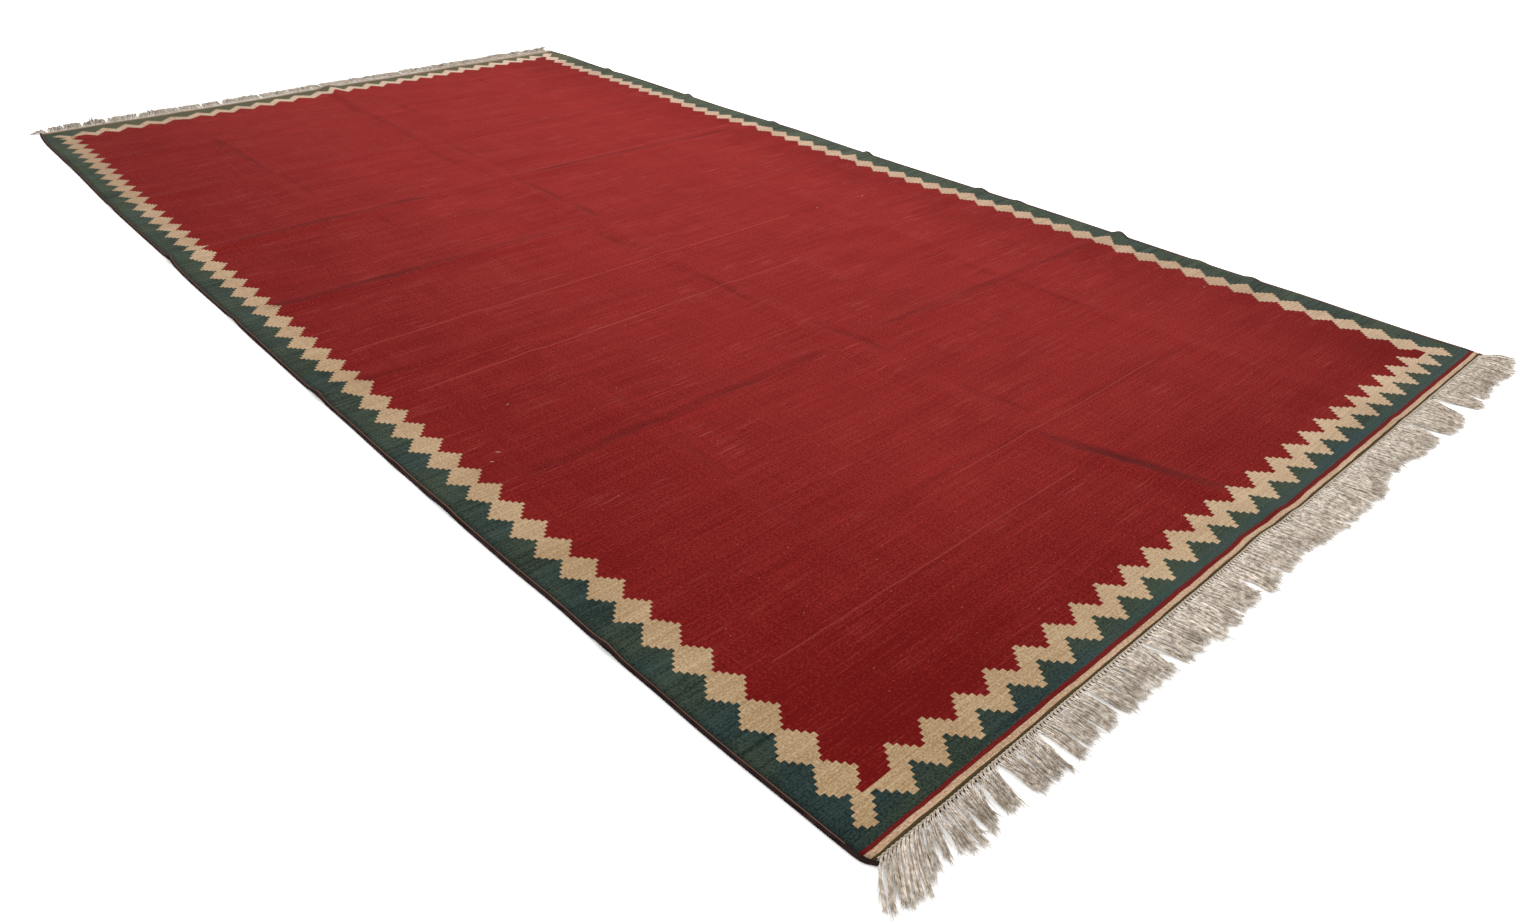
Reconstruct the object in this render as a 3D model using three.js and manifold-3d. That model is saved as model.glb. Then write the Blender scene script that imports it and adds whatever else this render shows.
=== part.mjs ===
// A large flat-woven kilim rug lying on the floor: a plain field with a stepped border woven in one cloth, a
// cord overcast along each long side, and a twined heading with the warp fringe at each end. The borders are
// only colour in the weave, so they aren't raised.
// Millimetres, +Z up. The near end is at -Y and the far end at +Y. The origin is on the floor, under the
// middle of the rug with its fringe.
import * as THREE from "three";
import { mergeVertices } from "three/addons/utils/BufferGeometryUtils.js";
import Module from "manifold-3d";

const wasm = await Module();
wasm.setup();

// Driving sizes. Places on the rug are given as "along", counted from the near heading, and "across", counted
// from the left long side.
const WIDTH = 2000; // from corner to corner, side cords included
const LENGTH = 3850; // from heading to heading, fringe left out
const LEFT_CORNER = -984.2; // X of the two left corners: the spread fringe reaches further on that side
const NEAR_CORNER = -LENGTH / 2; // Y of the two near corners
const CLOTH = 3; // thickness of the weave
const GAP = 0.3; // between pieces that touch

const CORD_WIDTH = 8; // side cord, warp cords and wrapping together
const CORD_HEIGHT = 4.6;
const CORD_SIDES = 6;

const HEADING_DEPTH = 5.6; // the twined row that locks the last weft
const HEADING_HEIGHT = 3.2;

const STRANDS = 128; // on each end, each a pair of plied warp ends
const FRINGE_REACH = 72; // the longest strands, from the heading
const STRAND_ROOT = { width: 9.4, height: 2.5 };
const STRAND_TIP = { width: 5, height: 2.4 };
const STRAND_SIDES = 3;
const STRAND_BENDS = 3;
const STRAND_BITE = 2.5; // how far a root runs into the heading
const ROOT_RISE = 0.4; // of a root over the heading's underside
const REACH_SPREAD = 4; // strands of one lock end this much before or after each other
const SWAY = 1.2; // how far a strand wanders sideways at a bend
const LEAN_CURVE = 1.2; // over 1, a strand leaves the heading straight and leans over further out

const EDGE = CORD_WIDTH + GAP; // from the rug's side to the cloth
const END = HEADING_DEPTH + GAP; // from the rug's end to the cloth
const WIDEST_CELL = 290; // of the cloth's faces between two folds

// How far each long side bows out from the straight line between its corners.
const SIDES = [
  { along: 0, left: 0, right: 0 },
  { along: 270, left: 16, right: 6 },
  { along: 770, left: 25, right: 12 },
  { along: 1350, left: 34, right: 17 },
  { along: 1925, left: 39, right: 18 },
  { along: 2500, left: 36, right: 16 },
  { along: 3080, left: 28, right: 14 },
  { along: 3580, left: 19, right: 11 },
  { along: LENGTH, left: 5, right: 6 },
];

// The rug was stored folded in eight along its length and in four across its width. Each fold still stands up
// as a soft ridge. A row is a point of its crest, with the height that the cloth is lifted there.
const FOLDS = [
  {
    runs: "across",
    halfWidth: 50,
    crest: [
      { across: 0, along: 508, rise: 4 },
      { across: 1000, along: 490, rise: 2 },
      { across: WIDTH, along: 505, rise: 3 },
    ],
  },
  {
    runs: "across",
    halfWidth: 55,
    crest: [
      { across: 0, along: 976, rise: 3 },
      { across: 800, along: 970, rise: 3.5 },
      { across: WIDTH, along: 954, rise: 10 },
    ],
  },
  {
    runs: "across",
    halfWidth: 60,
    crest: [
      { across: 0, along: 1494, rise: 6 },
      { across: 1000, along: 1470, rise: 1.5 },
      { across: WIDTH, along: 1444, rise: 7 },
    ],
  },
  {
    runs: "across",
    halfWidth: 50,
    crest: [
      { across: 0, along: 1958, rise: 5 },
      { across: 420, along: 1954, rise: 5 },
      { across: 1200, along: 1926, rise: 2.5 },
      { across: WIDTH, along: 1917, rise: 8 },
    ],
  },
  {
    runs: "across",
    halfWidth: 55,
    crest: [
      { across: 0, along: 2415, rise: 9 },
      { across: 700, along: 2424, rise: 4 },
      { across: 1300, along: 2412, rise: 3 },
      { across: WIDTH, along: 2411, rise: 9 },
    ],
  },
  {
    runs: "across",
    halfWidth: 55,
    crest: [
      { across: 0, along: 2930, rise: 4 },
      { across: 1000, along: 2915, rise: 2.5 },
      { across: WIDTH, along: 2902, rise: 9 },
    ],
  },
  {
    runs: "across",
    halfWidth: 60,
    crest: [
      { across: 0, along: 3390, rise: 3 },
      { across: 1000, along: 3412, rise: 2 },
      { across: WIDTH, along: 3429, rise: 6 },
    ],
  },
  {
    runs: "along",
    halfWidth: 45,
    crest: [
      { along: 0, across: 396, rise: 0.5 },
      { along: 700, across: 402, rise: 3.5 },
      { along: 1950, across: 428, rise: 2.5 },
      { along: 3100, across: 428, rise: 4 },
      { along: LENGTH, across: 440, rise: 1 },
    ],
  },
  {
    runs: "along",
    halfWidth: 50,
    crest: [
      { along: 0, across: 1060, rise: 5 },
      { along: 170, across: 1026, rise: 7 },
      { along: 440, across: 955, rise: 4 },
      { along: 1900, across: 968, rise: 4 },
      { along: 3200, across: 955, rise: 4 },
      { along: LENGTH, across: 972, rise: 7 },
    ],
  },
  {
    runs: "along",
    halfWidth: 45,
    crest: [
      { along: 0, across: 1548, rise: 2 },
      { along: 600, across: 1536, rise: 3 },
      { along: 2400, across: 1528, rise: 1.5 },
      { along: LENGTH, across: 1520, rise: 1 },
    ],
  },
];

// Neighbouring strands cling together in locks. A row is one lock: it starts where the row before it ends,
// rootTo is its last root, its tips lie from tipFrom to tipTo, and reach is its length.
const NEAR_LOCKS = [
  { rootTo: 40, tipFrom: -38, tipTo: -12, reach: 52 },
  { rootTo: 72, tipFrom: -2, tipTo: 34, reach: 70 },
  { rootTo: 100, tipFrom: 52, tipTo: 78, reach: 44 },
  { rootTo: 132, tipFrom: 84, tipTo: 112, reach: 66 },
  { rootTo: 180, tipFrom: 116, tipTo: 164, reach: 60 },
  { rootTo: 222, tipFrom: 174, tipTo: 204, reach: 62 },
  { rootTo: 308, tipFrom: 224, tipTo: 292, reach: 70 },
  { rootTo: 392, tipFrom: 314, tipTo: 380, reach: 70 },
  { rootTo: 432, tipFrom: 385, tipTo: 424, reach: 62 },
  { rootTo: 574, tipFrom: 434, tipTo: 564, reach: 67 },
  { rootTo: 690, tipFrom: 588, tipTo: 684, reach: 68 },
  { rootTo: 744, tipFrom: 692, tipTo: 734, reach: 66 },
  { rootTo: 784, tipFrom: 752, tipTo: 778, reach: 62 },
  { rootTo: 822, tipFrom: 786, tipTo: 812, reach: 66 },
  { rootTo: 902, tipFrom: 838, tipTo: 882, reach: 70 },
  { rootTo: 1042, tipFrom: 904, tipTo: 1034, reach: 66 },
  { rootTo: 1077, tipFrom: 1046, tipTo: 1072, reach: 70 },
  { rootTo: 1204, tipFrom: 1084, tipTo: 1200, reach: 68 },
  { rootTo: 1310, tipFrom: 1211, tipTo: 1300, reach: 62 },
  { rootTo: 1456, tipFrom: 1330, tipTo: 1456, reach: 60 },
  { rootTo: 1538, tipFrom: 1470, tipTo: 1530, reach: 68 },
  { rootTo: 1680, tipFrom: 1550, tipTo: 1658, reach: 70 },
  { rootTo: 1756, tipFrom: 1712, tipTo: 1750, reach: 70 },
  { rootTo: 1936, tipFrom: 1780, tipTo: 1930, reach: 64 },
  { rootTo: WIDTH, tipFrom: 1942, tipTo: 2030, reach: 66 },
];
const FAR_LOCKS = [
  { rootTo: 40, tipFrom: -60, tipTo: -28, reach: 58 },
  { rootTo: 128, tipFrom: 26, tipTo: 118, reach: 66 },
  { rootTo: 206, tipFrom: 134, tipTo: 192, reach: 60 },
  { rootTo: 300, tipFrom: 212, tipTo: 304, reach: 70 },
  { rootTo: 402, tipFrom: 322, tipTo: 396, reach: 64 },
  { rootTo: 520, tipFrom: 408, tipTo: 504, reach: 68 },
  { rootTo: 586, tipFrom: 524, tipTo: 582, reach: 60 },
  { rootTo: 730, tipFrom: 600, tipTo: 732, reach: 66 },
  { rootTo: 842, tipFrom: 744, tipTo: 832, reach: 70 },
  { rootTo: 968, tipFrom: 850, tipTo: 958, reach: 64 },
  { rootTo: 1040, tipFrom: 980, tipTo: 1044, reach: 70 },
  { rootTo: 1190, tipFrom: 1056, tipTo: 1178, reach: 66 },
  { rootTo: 1308, tipFrom: 1192, tipTo: 1300, reach: 62 },
  { rootTo: 1396, tipFrom: 1316, tipTo: 1398, reach: 70 },
  { rootTo: 1530, tipFrom: 1412, tipTo: 1518, reach: 66 },
  { rootTo: 1644, tipFrom: 1530, tipTo: 1640, reach: 68 },
  { rootTo: 1770, tipFrom: 1656, tipTo: 1758, reach: 62 },
  { rootTo: 1880, tipFrom: 1774, tipTo: 1878, reach: 70 },
  { rootTo: WIDTH, tipFrom: 1892, tipTo: 2014, reach: 64 },
];

// A column's value at a place, on a smooth curve through the table's rows.
function read(table, place, column, at) {
  const last = table.length - 1;
  let row = 0;
  while (row < last - 1 && at > table[row + 1][place]) row++;
  const a = table[row];
  const b = table[row + 1];
  const before = table[Math.max(row - 1, 0)];
  const after = table[Math.min(row + 2, last)];
  const slope = (from, to) => (to[column] - from[column]) / (to[place] - from[place]);
  const step = b[place] - a[place];
  const s = THREE.MathUtils.clamp((at - a[place]) / step, 0, 1);
  const leave = slope(before, b) * step * (s ** 3 - 2 * s ** 2 + s);
  const arrive = slope(a, after) * step * (s ** 3 - s ** 2);
  return a[column] + (b[column] - a[column]) * (3 * s ** 2 - 2 * s ** 3) + leave + arrive;
}

const leftSide = (along) => LEFT_CORNER - read(SIDES, "along", "left", along);
const rightSide = (along) => LEFT_CORNER + WIDTH + read(SIDES, "along", "right", along);

// Between its two cords the cloth is stretched evenly over the width that the sides leave it.
function acrossToX(along, across) {
  const share = (across - EDGE) / (WIDTH - 2 * EDGE);
  return THREE.MathUtils.lerp(leftSide(along) + EDGE, rightSide(along) - EDGE, share);
}

// Where a fold's crest lies, at a place on the way it runs.
const other = { across: "along", along: "across" };
const crestAt = (fold, at) => read(fold.crest, fold.runs, other[fold.runs], at);

// How far the folds lift the underside of the cloth off the floor.
function lift(along, across) {
  const place = { along, across };
  let squares = 0;
  for (const fold of FOLDS) {
    const at = place[fold.runs];
    const off = (place[other[fold.runs]] - crestAt(fold, at)) / fold.halfWidth;
    if (Math.abs(off) >= 1) continue;
    const rise = Math.max(read(fold.crest, fold.runs, "rise", at), 0);
    squares += (rise * (0.5 + 0.5 * Math.cos(Math.PI * off))) ** 2;
  }
  return Math.sqrt(squares);
}

// The face lines that cross the folds of one way: five on each fold, and plain ones between and at both ends.
function faceLines(runs, from, to) {
  const lines = [{ place: from }, { place: to }];
  for (const fold of FOLDS.filter((each) => each.runs === runs))
    for (const share of [-1, -0.5, 0, 0.5, 1])
      lines.push({ fold, place: crestAt(fold, LENGTH / 4), offset: share * fold.halfWidth });
  const middle = (line) => line.place + (line.offset ?? 0);
  lines.sort((one, next) => middle(one) - middle(next));
  const filled = [lines[0]];
  for (const line of lines.slice(1)) {
    const start = middle(filled.at(-1));
    const cells = Math.ceil((middle(line) - start) / WIDEST_CELL);
    for (let k = 1; k < cells; k++) filled.push({ place: start + ((middle(line) - start) * k) / cells });
    filled.push(line);
  }
  return filled;
}
const linePlace = (line, at) => (line.fold ? crestAt(line.fold, at) + line.offset : line.place);

const acrossLines = faceLines("along", EDGE, WIDTH - EDGE);
const alongLines = faceLines("across", END, LENGTH - END);

// The crossing of two face lines.
function crossing(alongLine, acrossLine) {
  let across = linePlace(acrossLine, alongLine.place);
  let along = linePlace(alongLine, across);
  across = linePlace(acrossLine, along);
  along = linePlace(alongLine, across);
  return { along, across };
}

// A plain geometry with every point moved to where the function puts it, and its shared points merged.
function reshape(geometry, placeOf) {
  const points = geometry.getAttribute("position");
  const point = new THREE.Vector3();
  for (let k = 0; k < points.count; k++) {
    const moved = placeOf(point.fromBufferAttribute(points, k));
    points.setXYZ(k, moved.x, moved.y, moved.z);
  }
  geometry.deleteAttribute("normal");
  geometry.deleteAttribute("uv");
  return mergeVertices(geometry, 1e-4);
}

const solidOf = (geometry) =>
  new wasm.Manifold(
    new wasm.Mesh({
      numProp: 3,
      vertProperties: geometry.getAttribute("position").array,
      triVerts: new Uint32Array(geometry.index.array),
    }),
  );

function geometryOf(solid) {
  const mesh = solid.getMesh();
  const geometry = new THREE.BufferGeometry();
  geometry.setAttribute("position", new THREE.BufferAttribute(mesh.vertProperties, 3));
  geometry.setIndex(new THREE.BufferAttribute(mesh.triVerts, 1));
  return geometry;
}

// The cloth: a flat slab of faces, laid over the folds.
function groundGeometry() {
  const columns = acrossLines.length - 1;
  const rows = alongLines.length - 1;
  return reshape(new THREE.BoxGeometry(1, 1, 1, columns, rows, 1), (corner) => {
    const column = Math.round((corner.x + 0.5) * columns);
    const row = Math.round((corner.y + 0.5) * rows);
    const { along, across } = crossing(alongLines[row], acrossLines[column]);
    const height = lift(along, across) + (corner.z > 0 ? CLOTH : 0);
    return new THREE.Vector3(acrossToX(along, across), NEAR_CORNER + along, height);
  });
}

// A side cord: a six-sided bar with a flat underside that follows its side and is lifted by the folds there.
function cordGeometry(side) {
  const acrossThere = side === "left" ? EDGE : WIDTH - EDGE;
  const places = [0, ...alongLines.slice(1, -1).map((line) => linePlace(line, acrossThere)), LENGTH];
  const steps = places.length - 1;
  const flat = Math.PI / CORD_SIDES; // turns a flat side of the section down
  const bar = new THREE.CylinderGeometry(1, 1, 1, CORD_SIDES, steps, false, flat);
  const halfHeight = Math.cos(flat);
  return reshape(bar, (corner) => {
    const along = places[Math.round((corner.y + 0.5) * steps)];
    const edge = side === "left" ? leftSide(along) + CORD_WIDTH / 2 : rightSide(along) - CORD_WIDTH / 2;
    const height = ((corner.z / halfHeight + 1) / 2) * CORD_HEIGHT;
    return new THREE.Vector3(
      edge + (corner.x * CORD_WIDTH) / 2,
      NEAR_CORNER + along,
      lift(along, acrossThere) + height,
    );
  });
}

// An irregular number from -1 to 1 for each whole number, the same each time.
const SCATTER_STEP = 617;
const SCATTER_ROUND = 1009;
const scatter = (k) => (2 * ((k * SCATTER_STEP) % SCATTER_ROUND)) / (SCATTER_ROUND - 1) - 1;

// One end's fringe. "out" is -1 at the near end and 1 at the far end.
function fringeGeometry(locks, out) {
  const end = out < 0 ? 0 : LENGTH;
  const endY = NEAR_CORNER + end;
  const columns = acrossLines.length - 1;
  const heading = reshape(new THREE.BoxGeometry(1, 1, 1, columns, 1, 1), (corner) => {
    const column = Math.round((corner.x + 0.5) * columns);
    const across = linePlace(acrossLines[column], end);
    const inward = (0.5 - out * corner.y) * HEADING_DEPTH;
    const height = lift(end, across) + (corner.z > 0 ? HEADING_HEIGHT : 0);
    return new THREE.Vector3(acrossToX(end, across), endY - out * inward, height);
  });
  let fringe = solidOf(heading);
  const pitch = (WIDTH - 2 * EDGE) / STRANDS;
  let rootFrom = 0;
  let row = 0;
  for (let k = 0; k < STRANDS; k++) {
    const root = EDGE + (k + 0.5) * pitch;
    while (root > locks[row].rootTo) rootFrom = locks[row++].rootTo;
    const lock = locks[row];
    const share = (root - rootFrom) / (lock.rootTo - rootFrom);
    const tip = THREE.MathUtils.lerp(lock.tipFrom, lock.tipTo, share);
    const reach = Math.min(lock.reach + REACH_SPREAD * scatter(k), FRINGE_REACH);
    fringe = fringe.add(solidOf(strandGeometry(root, tip, reach, k, end, out)));
  }
  return geometryOf(fringe);
}

// One strand: a three-sided bar that starts inside the heading and lies level on the floor.
function strandGeometry(root, tip, reach, k, end, out) {
  const endY = NEAR_CORNER + end;
  const rootX = acrossToX(end, root);
  const bar = new THREE.CylinderGeometry(1, 1, 1, STRAND_SIDES, STRAND_BENDS); // its flat side is down
  const halfBase = Math.sin((2 * Math.PI) / STRAND_SIDES);
  const base = Math.cos((2 * Math.PI) / STRAND_SIDES);
  return reshape(bar, (corner) => {
    const share = out < 0 ? 0.5 - corner.y : corner.y + 0.5;
    const bend = Math.round(share * STRAND_BENDS);
    const inside = bend > 0 && bend < STRAND_BENDS;
    const sway = inside ? SWAY * scatter(k * STRAND_BENDS + bend) : 0;
    const middle = THREE.MathUtils.lerp(rootX, LEFT_CORNER + tip, share ** LEAN_CURVE) + sway;
    const width = THREE.MathUtils.lerp(STRAND_ROOT.width, STRAND_TIP.width, share);
    const height = THREE.MathUtils.lerp(STRAND_ROOT.height, STRAND_TIP.height, share);
    const underside = bend === 0 ? lift(end, root) + ROOT_RISE : 0;
    return new THREE.Vector3(
      middle + (corner.x / halfBase) * (width / 2),
      endY + out * THREE.MathUtils.lerp(-STRAND_BITE, reach, share),
      underside + ((corner.z - base) / (1 - base)) * height,
    );
  });
}

const fieldWool = new THREE.MeshStandardMaterial({ color: 0x8f2a2d, roughness: 0.95, metalness: 0 });
const cordWool = new THREE.MeshStandardMaterial({ color: 0x33211e, roughness: 0.95, metalness: 0 });
const warpCotton = new THREE.MeshStandardMaterial({ color: 0xb3a89b, roughness: 0.95, metalness: 0 });

const rug = new THREE.Group();
function lay(name, geometry, material) {
  const piece = new THREE.Mesh(geometry, material);
  piece.name = name;
  rug.add(piece);
}
lay("kilim_ground", groundGeometry(), fieldWool);
lay("selvedge_left", cordGeometry("left"), cordWool);
lay("selvedge_right", cordGeometry("right"), cordWool);
lay("fringe_near", fringeGeometry(NEAR_LOCKS, -1), warpCotton);
lay("fringe_far", fringeGeometry(FAR_LOCKS, 1), warpCotton);

export default rug;
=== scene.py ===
import math
import random

import bpy
import numpy as np
from mathutils import Matrix, Vector


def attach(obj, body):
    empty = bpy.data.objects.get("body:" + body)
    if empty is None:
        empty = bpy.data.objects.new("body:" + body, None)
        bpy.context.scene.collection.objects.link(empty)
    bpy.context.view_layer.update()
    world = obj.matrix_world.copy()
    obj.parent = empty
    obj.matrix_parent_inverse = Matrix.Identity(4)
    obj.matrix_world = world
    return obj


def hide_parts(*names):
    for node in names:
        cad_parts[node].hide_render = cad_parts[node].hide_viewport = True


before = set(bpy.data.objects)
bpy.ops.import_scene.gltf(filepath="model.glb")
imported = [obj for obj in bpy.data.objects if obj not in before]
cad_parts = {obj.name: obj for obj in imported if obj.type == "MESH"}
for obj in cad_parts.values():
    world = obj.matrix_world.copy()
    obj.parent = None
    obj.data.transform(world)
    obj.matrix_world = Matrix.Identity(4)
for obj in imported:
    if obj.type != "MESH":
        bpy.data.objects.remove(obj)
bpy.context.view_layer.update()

# The viewpoint
# The rug was seen from about a metre up, off its near left corner, through a wide lens. The camera's place
# and its three directions were worked out from the four corners of the weave.
EYE = Vector((-1.6143, -2.4045, 1.0736))
TO_THE_RIGHT = Vector((0.73954, -0.67294, 0.01541))
UPWARD = Vector((0.35846, 0.41311, 0.83716))
BACKWARD = Vector((-0.56973, -0.61359, 0.54673))
LENS = 24.764  # millimetres, on a sensor 36 wide
SENSOR = 36.0


def add_object(name, data):
    """An object at the origin that shows some data."""
    thing = bpy.data.objects.new(name, data)
    bpy.context.scene.collection.objects.link(thing)
    return thing


camera_data = bpy.data.cameras.new("viewpoint")
camera_data.lens = LENS
camera_data.sensor_width = SENSOR
camera = add_object("viewpoint", camera_data)
turned = Matrix((TO_THE_RIGHT, UPWARD, BACKWARD)).transposed()
camera.matrix_world = Matrix.Translation(EYE) @ turned.to_4x4()
bpy.context.scene.camera = camera
bpy.context.scene.view_settings.view_transform = "Standard"

# The studio
# A plain white floor under a white sky, with one broad soft lamp high off the rug's right side, past its
# middle, and a weaker one off its left. They come in low enough to show the folds. The light is as strong as
# a catalogue's, so that the floor is pure white right up to the rug.
FLOOR_REACH = 18.0
FLOOR_WHITE = (0.96, 0.96, 0.955)
LIGHT = 1.4  # how much lighter than plain white the light makes the floor
SKY_STRENGTH = 0.86 * LIGHT


def new_finish(name, roughness, sheen=0.0):
    """A material with nodes, and its surface shader with the numbers that are the same all over."""
    finish = bpy.data.materials.new(name)
    finish.use_nodes = True
    shader = finish.node_tree.nodes["Principled BSDF"]
    shader.inputs["Roughness"].default_value = roughness
    shader.inputs["Specular IOR Level"].default_value = 0.02
    shader.inputs["Sheen Weight"].default_value = sheen
    shader.inputs["Sheen Roughness"].default_value = 0.6
    return finish, shader


def lay_floor():
    mesh = bpy.data.meshes.new("floor")
    reach = FLOOR_REACH
    corners = [(-reach, -reach, 0), (reach, -reach, 0), (reach, reach, 0), (-reach, reach, 0)]
    mesh.from_pydata(corners, [], [(0, 1, 2, 3)])
    finish, shader = new_finish("floor_white", roughness=0.8)
    shader.inputs["Base Color"].default_value = (*FLOOR_WHITE, 1)
    mesh.materials.append(finish)
    add_object("floor", mesh)


def hang_lamp(name, place, width, power):
    data = bpy.data.lights.new(name, "AREA")
    data.shape = "DISK"
    data.size = width
    data.energy = power * LIGHT
    aim = (-Vector(place)).to_track_quat("-Z", "Y")
    add_object(name, data).matrix_world = Matrix.Translation(place) @ aim.to_matrix().to_4x4()


lay_floor()
hang_lamp("key_lamp", place=(2.9, 0.9, 2.7), width=2.2, power=120.0)
hang_lamp("fill_lamp", place=(-3.0, 0.5, 3.4), width=2.4, power=30.0)
sky = bpy.data.worlds.new("sky")
sky.use_nodes = True
white = sky.node_tree.nodes["Background"]
white.inputs["Color"].default_value = (1, 1, 1, 1)
white.inputs["Strength"].default_value = SKY_STRENGTH
bpy.context.scene.world = sky

# The woven ground
# One piece of weft-faced wool on cotton warps, woven by hand in tapestry technique, so that its steps are
# one pair of warps wide. It lies flat, and the folds that it was stored in still stand up as soft ridges.
# Places on it are "along", from the near end, and "across", from its left side.
WIDTH = 2.0
LENGTH = 3.85
LEFT_CORNER = -0.9842
NEAR_CORNER = -LENGTH / 2
CLOTH = 0.003
GAP = 0.0003
CORD_WIDTH = 0.008
HEADING_DEPTH = 0.0056
EDGE = CORD_WIDTH + GAP
END = HEADING_DEPTH + GAP
OPEN_CELL = 0.0122  # of the upper face, between folds
FOLD_CELL = 0.0052  # and near them
FINE_ACROSS = [(0.39, 0.56), (0.89, 1.085), (1.48, 1.56)]
FINE_ALONG = [(0.0, 0.06), (0.44, 0.55), (0.91, 1.03), (1.42, 1.54)]
FINE_ALONG += [(1.87, 2.01), (2.36, 2.47), (2.86, 2.98), (3.35, 3.46)]
UNDER_STEP = 3  # cells of the upper face to one of the underside


def table(columns, *rows):
    """Rows with named columns."""
    return [dict(zip(columns.split(), row)) for row in rows]


# How far each long side bows out from the straight line between its corners.
SIDES = table(
    "along left right",
    (0.0, 0.002, -0.013),
    (0.015, 0.011, -0.0115),
    (0.04, 0.014, -0.0095),
    (0.12, 0.018, -0.012),
    (0.27, 0.0255, -0.0075),
    (0.4, 0.028, -0.0025),
    (0.5, 0.031, -0.003),
    (0.64, 0.0315, -0.003),
    (0.77, 0.036, 0.001),
    (1.2, 0.042, 0.011),
    (1.34, 0.0425, 0.0085),
    (1.6, 0.0455, 0.0065),
    (1.8, 0.0455, 0.006),
    (2.0, 0.0455, 0.0095),
    (2.25, 0.047, 0.0175),
    (2.45, 0.043, 0.0125),
    (2.68, 0.0435, 0.008),
    (2.98, 0.0425, 0.0165),
    (3.29, 0.0355, 0.0205),
    (3.36, 0.035, 0.0145),
    (3.55, 0.0335, 0.0165),
    (3.7, 0.0315, 0.0235),
    (3.8, 0.0245, 0.020),
    (LENGTH, 0.018, 0.017),
)
# How far the ends bow out from the lines between their corners. The bow fades out over the reach.
ENDS = table(
    "across near far",
    (0.0, 0.002, -0.008),
    (0.3, 0.003, -0.009),
    (0.7, 0.003, -0.013),
    (0.9, 0.0025, -0.004),
    (0.97, 0.001, -0.002),
    (1.05, 0.008, 0.001),
    (1.2, 0.009, 0.0),
    (1.6, 0.0095, 0.010),
    (WIDTH, 0.009, 0.015),
)
NEAR_BOW_REACH = 0.25
FAR_BOW_REACH = 0.06


def folded(half_width, columns, *crest):
    """A storage fold. Its first column says which way it runs, and its rows are points of its crest."""
    return dict(half_width=half_width, runs=columns.split()[0], crest=table(columns, *crest))


# The storage folds, with the height that the cloth is lifted at each point of a crest.
FOLDS = [
    folded(
        0.05, "across along rise",
        (0.0, 0.508, 0.004), (1.0, 0.49, 0.002), (1.8, 0.515, 0.003), (WIDTH, 0.538, 0.004),
    ),
    folded(
        0.06, "across along rise",
        (1.75, 0.68, 0.0), (WIDTH, 0.684, 0.003),
    ),
    folded(
        0.055, "across along rise",
        (0.0, 0.976, 0.003), (0.8, 0.968, 0.0035), (1.88, 0.936, 0.0065), (WIDTH, 0.929, 0.010),
    ),
    folded(
        0.06, "across along rise",
        (1.75, 1.27, 0.0), (WIDTH, 1.276, 0.0035),
    ),
    folded(
        0.06, "across along rise",
        (0.0, 1.494, 0.006), (1.0, 1.47, 0.0015), (1.88, 1.428, 0.003), (WIDTH, 1.414, 0.0065),
    ),
    folded(
        0.05, "across along rise",
        (0.0, 1.958, 0.005), (0.42, 1.954, 0.005), (1.2, 1.926, 0.0025), (1.88, 1.903, 0.004),
        (WIDTH, 1.893, 0.0075),
    ),
    folded(
        0.055, "across along rise",
        (0.0, 2.415, 0.009), (0.7, 2.424, 0.004), (1.3, 2.41, 0.003), (1.88, 2.378, 0.003),
        (WIDTH, 2.366, 0.0045),
    ),
    folded(
        0.055, "across along rise",
        (0.0, 2.93, 0.004), (1.0, 2.915, 0.0025), (1.88, 2.872, 0.0035), (WIDTH, 2.857, 0.0075),
    ),
    folded(
        0.06, "across along rise",
        (0.0, 3.39, 0.003), (1.0, 3.412, 0.002), (1.88, 3.41, 0.0025), (WIDTH, 3.40, 0.0055),
    ),
    folded(
        0.045, "along across rise",
        (0.0, 0.396, 0.0005), (0.7, 0.402, 0.0035), (1.95, 0.428, 0.0025), (3.1, 0.428, 0.004),
        (LENGTH, 0.44, 0.001),
    ),
    folded(
        0.05, "along across rise",
        (0.0, 1.06, 0.005), (0.17, 1.026, 0.007), (0.44, 0.955, 0.004), (1.9, 0.968, 0.004),
        (3.2, 0.955, 0.004), (LENGTH, 0.985, 0.0085),
    ),
    folded(
        0.045, "along across rise",
        (0.0, 1.548, 0.002), (0.6, 1.536, 0.003), (2.4, 1.528, 0.0015), (LENGTH, 1.52, 0.001),
    ),
]


def read(rows, place, column, at):
    """A column's values at some places, on a smooth curve through the table's rows."""
    places = np.array([row[place] for row in rows])
    values = np.array([row[column] for row in rows])
    last = len(rows) - 1
    before = np.maximum(np.arange(last + 1) - 1, 0)
    after = np.minimum(np.arange(last + 1) + 1, last)
    slopes = (values[after] - values[before]) / (places[after] - places[before])
    row = np.clip(np.searchsorted(places, at) - 1, 0, last - 1)
    step = places[row + 1] - places[row]
    s = np.clip((at - places[row]) / step, 0, 1)
    leave = slopes[row] * step * (s**3 - 2 * s**2 + s)
    arrive = slopes[row + 1] * step * (s**3 - s**2)
    rise = (values[row + 1] - values[row]) * (3 * s**2 - 2 * s**3)
    return values[row] + rise + leave + arrive


def left_side(along):
    return LEFT_CORNER - read(SIDES, "along", "left", along)


def right_side(along):
    return LEFT_CORNER + WIDTH + read(SIDES, "along", "right", along)


def across_to_x(along, across):
    """Between its two cords the cloth is stretched evenly over the width that the sides leave it."""
    share = (across - EDGE) / (WIDTH - 2 * EDGE)
    left = left_side(along) + EDGE
    right = right_side(along) - EDGE
    return left + (right - left) * share


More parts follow.
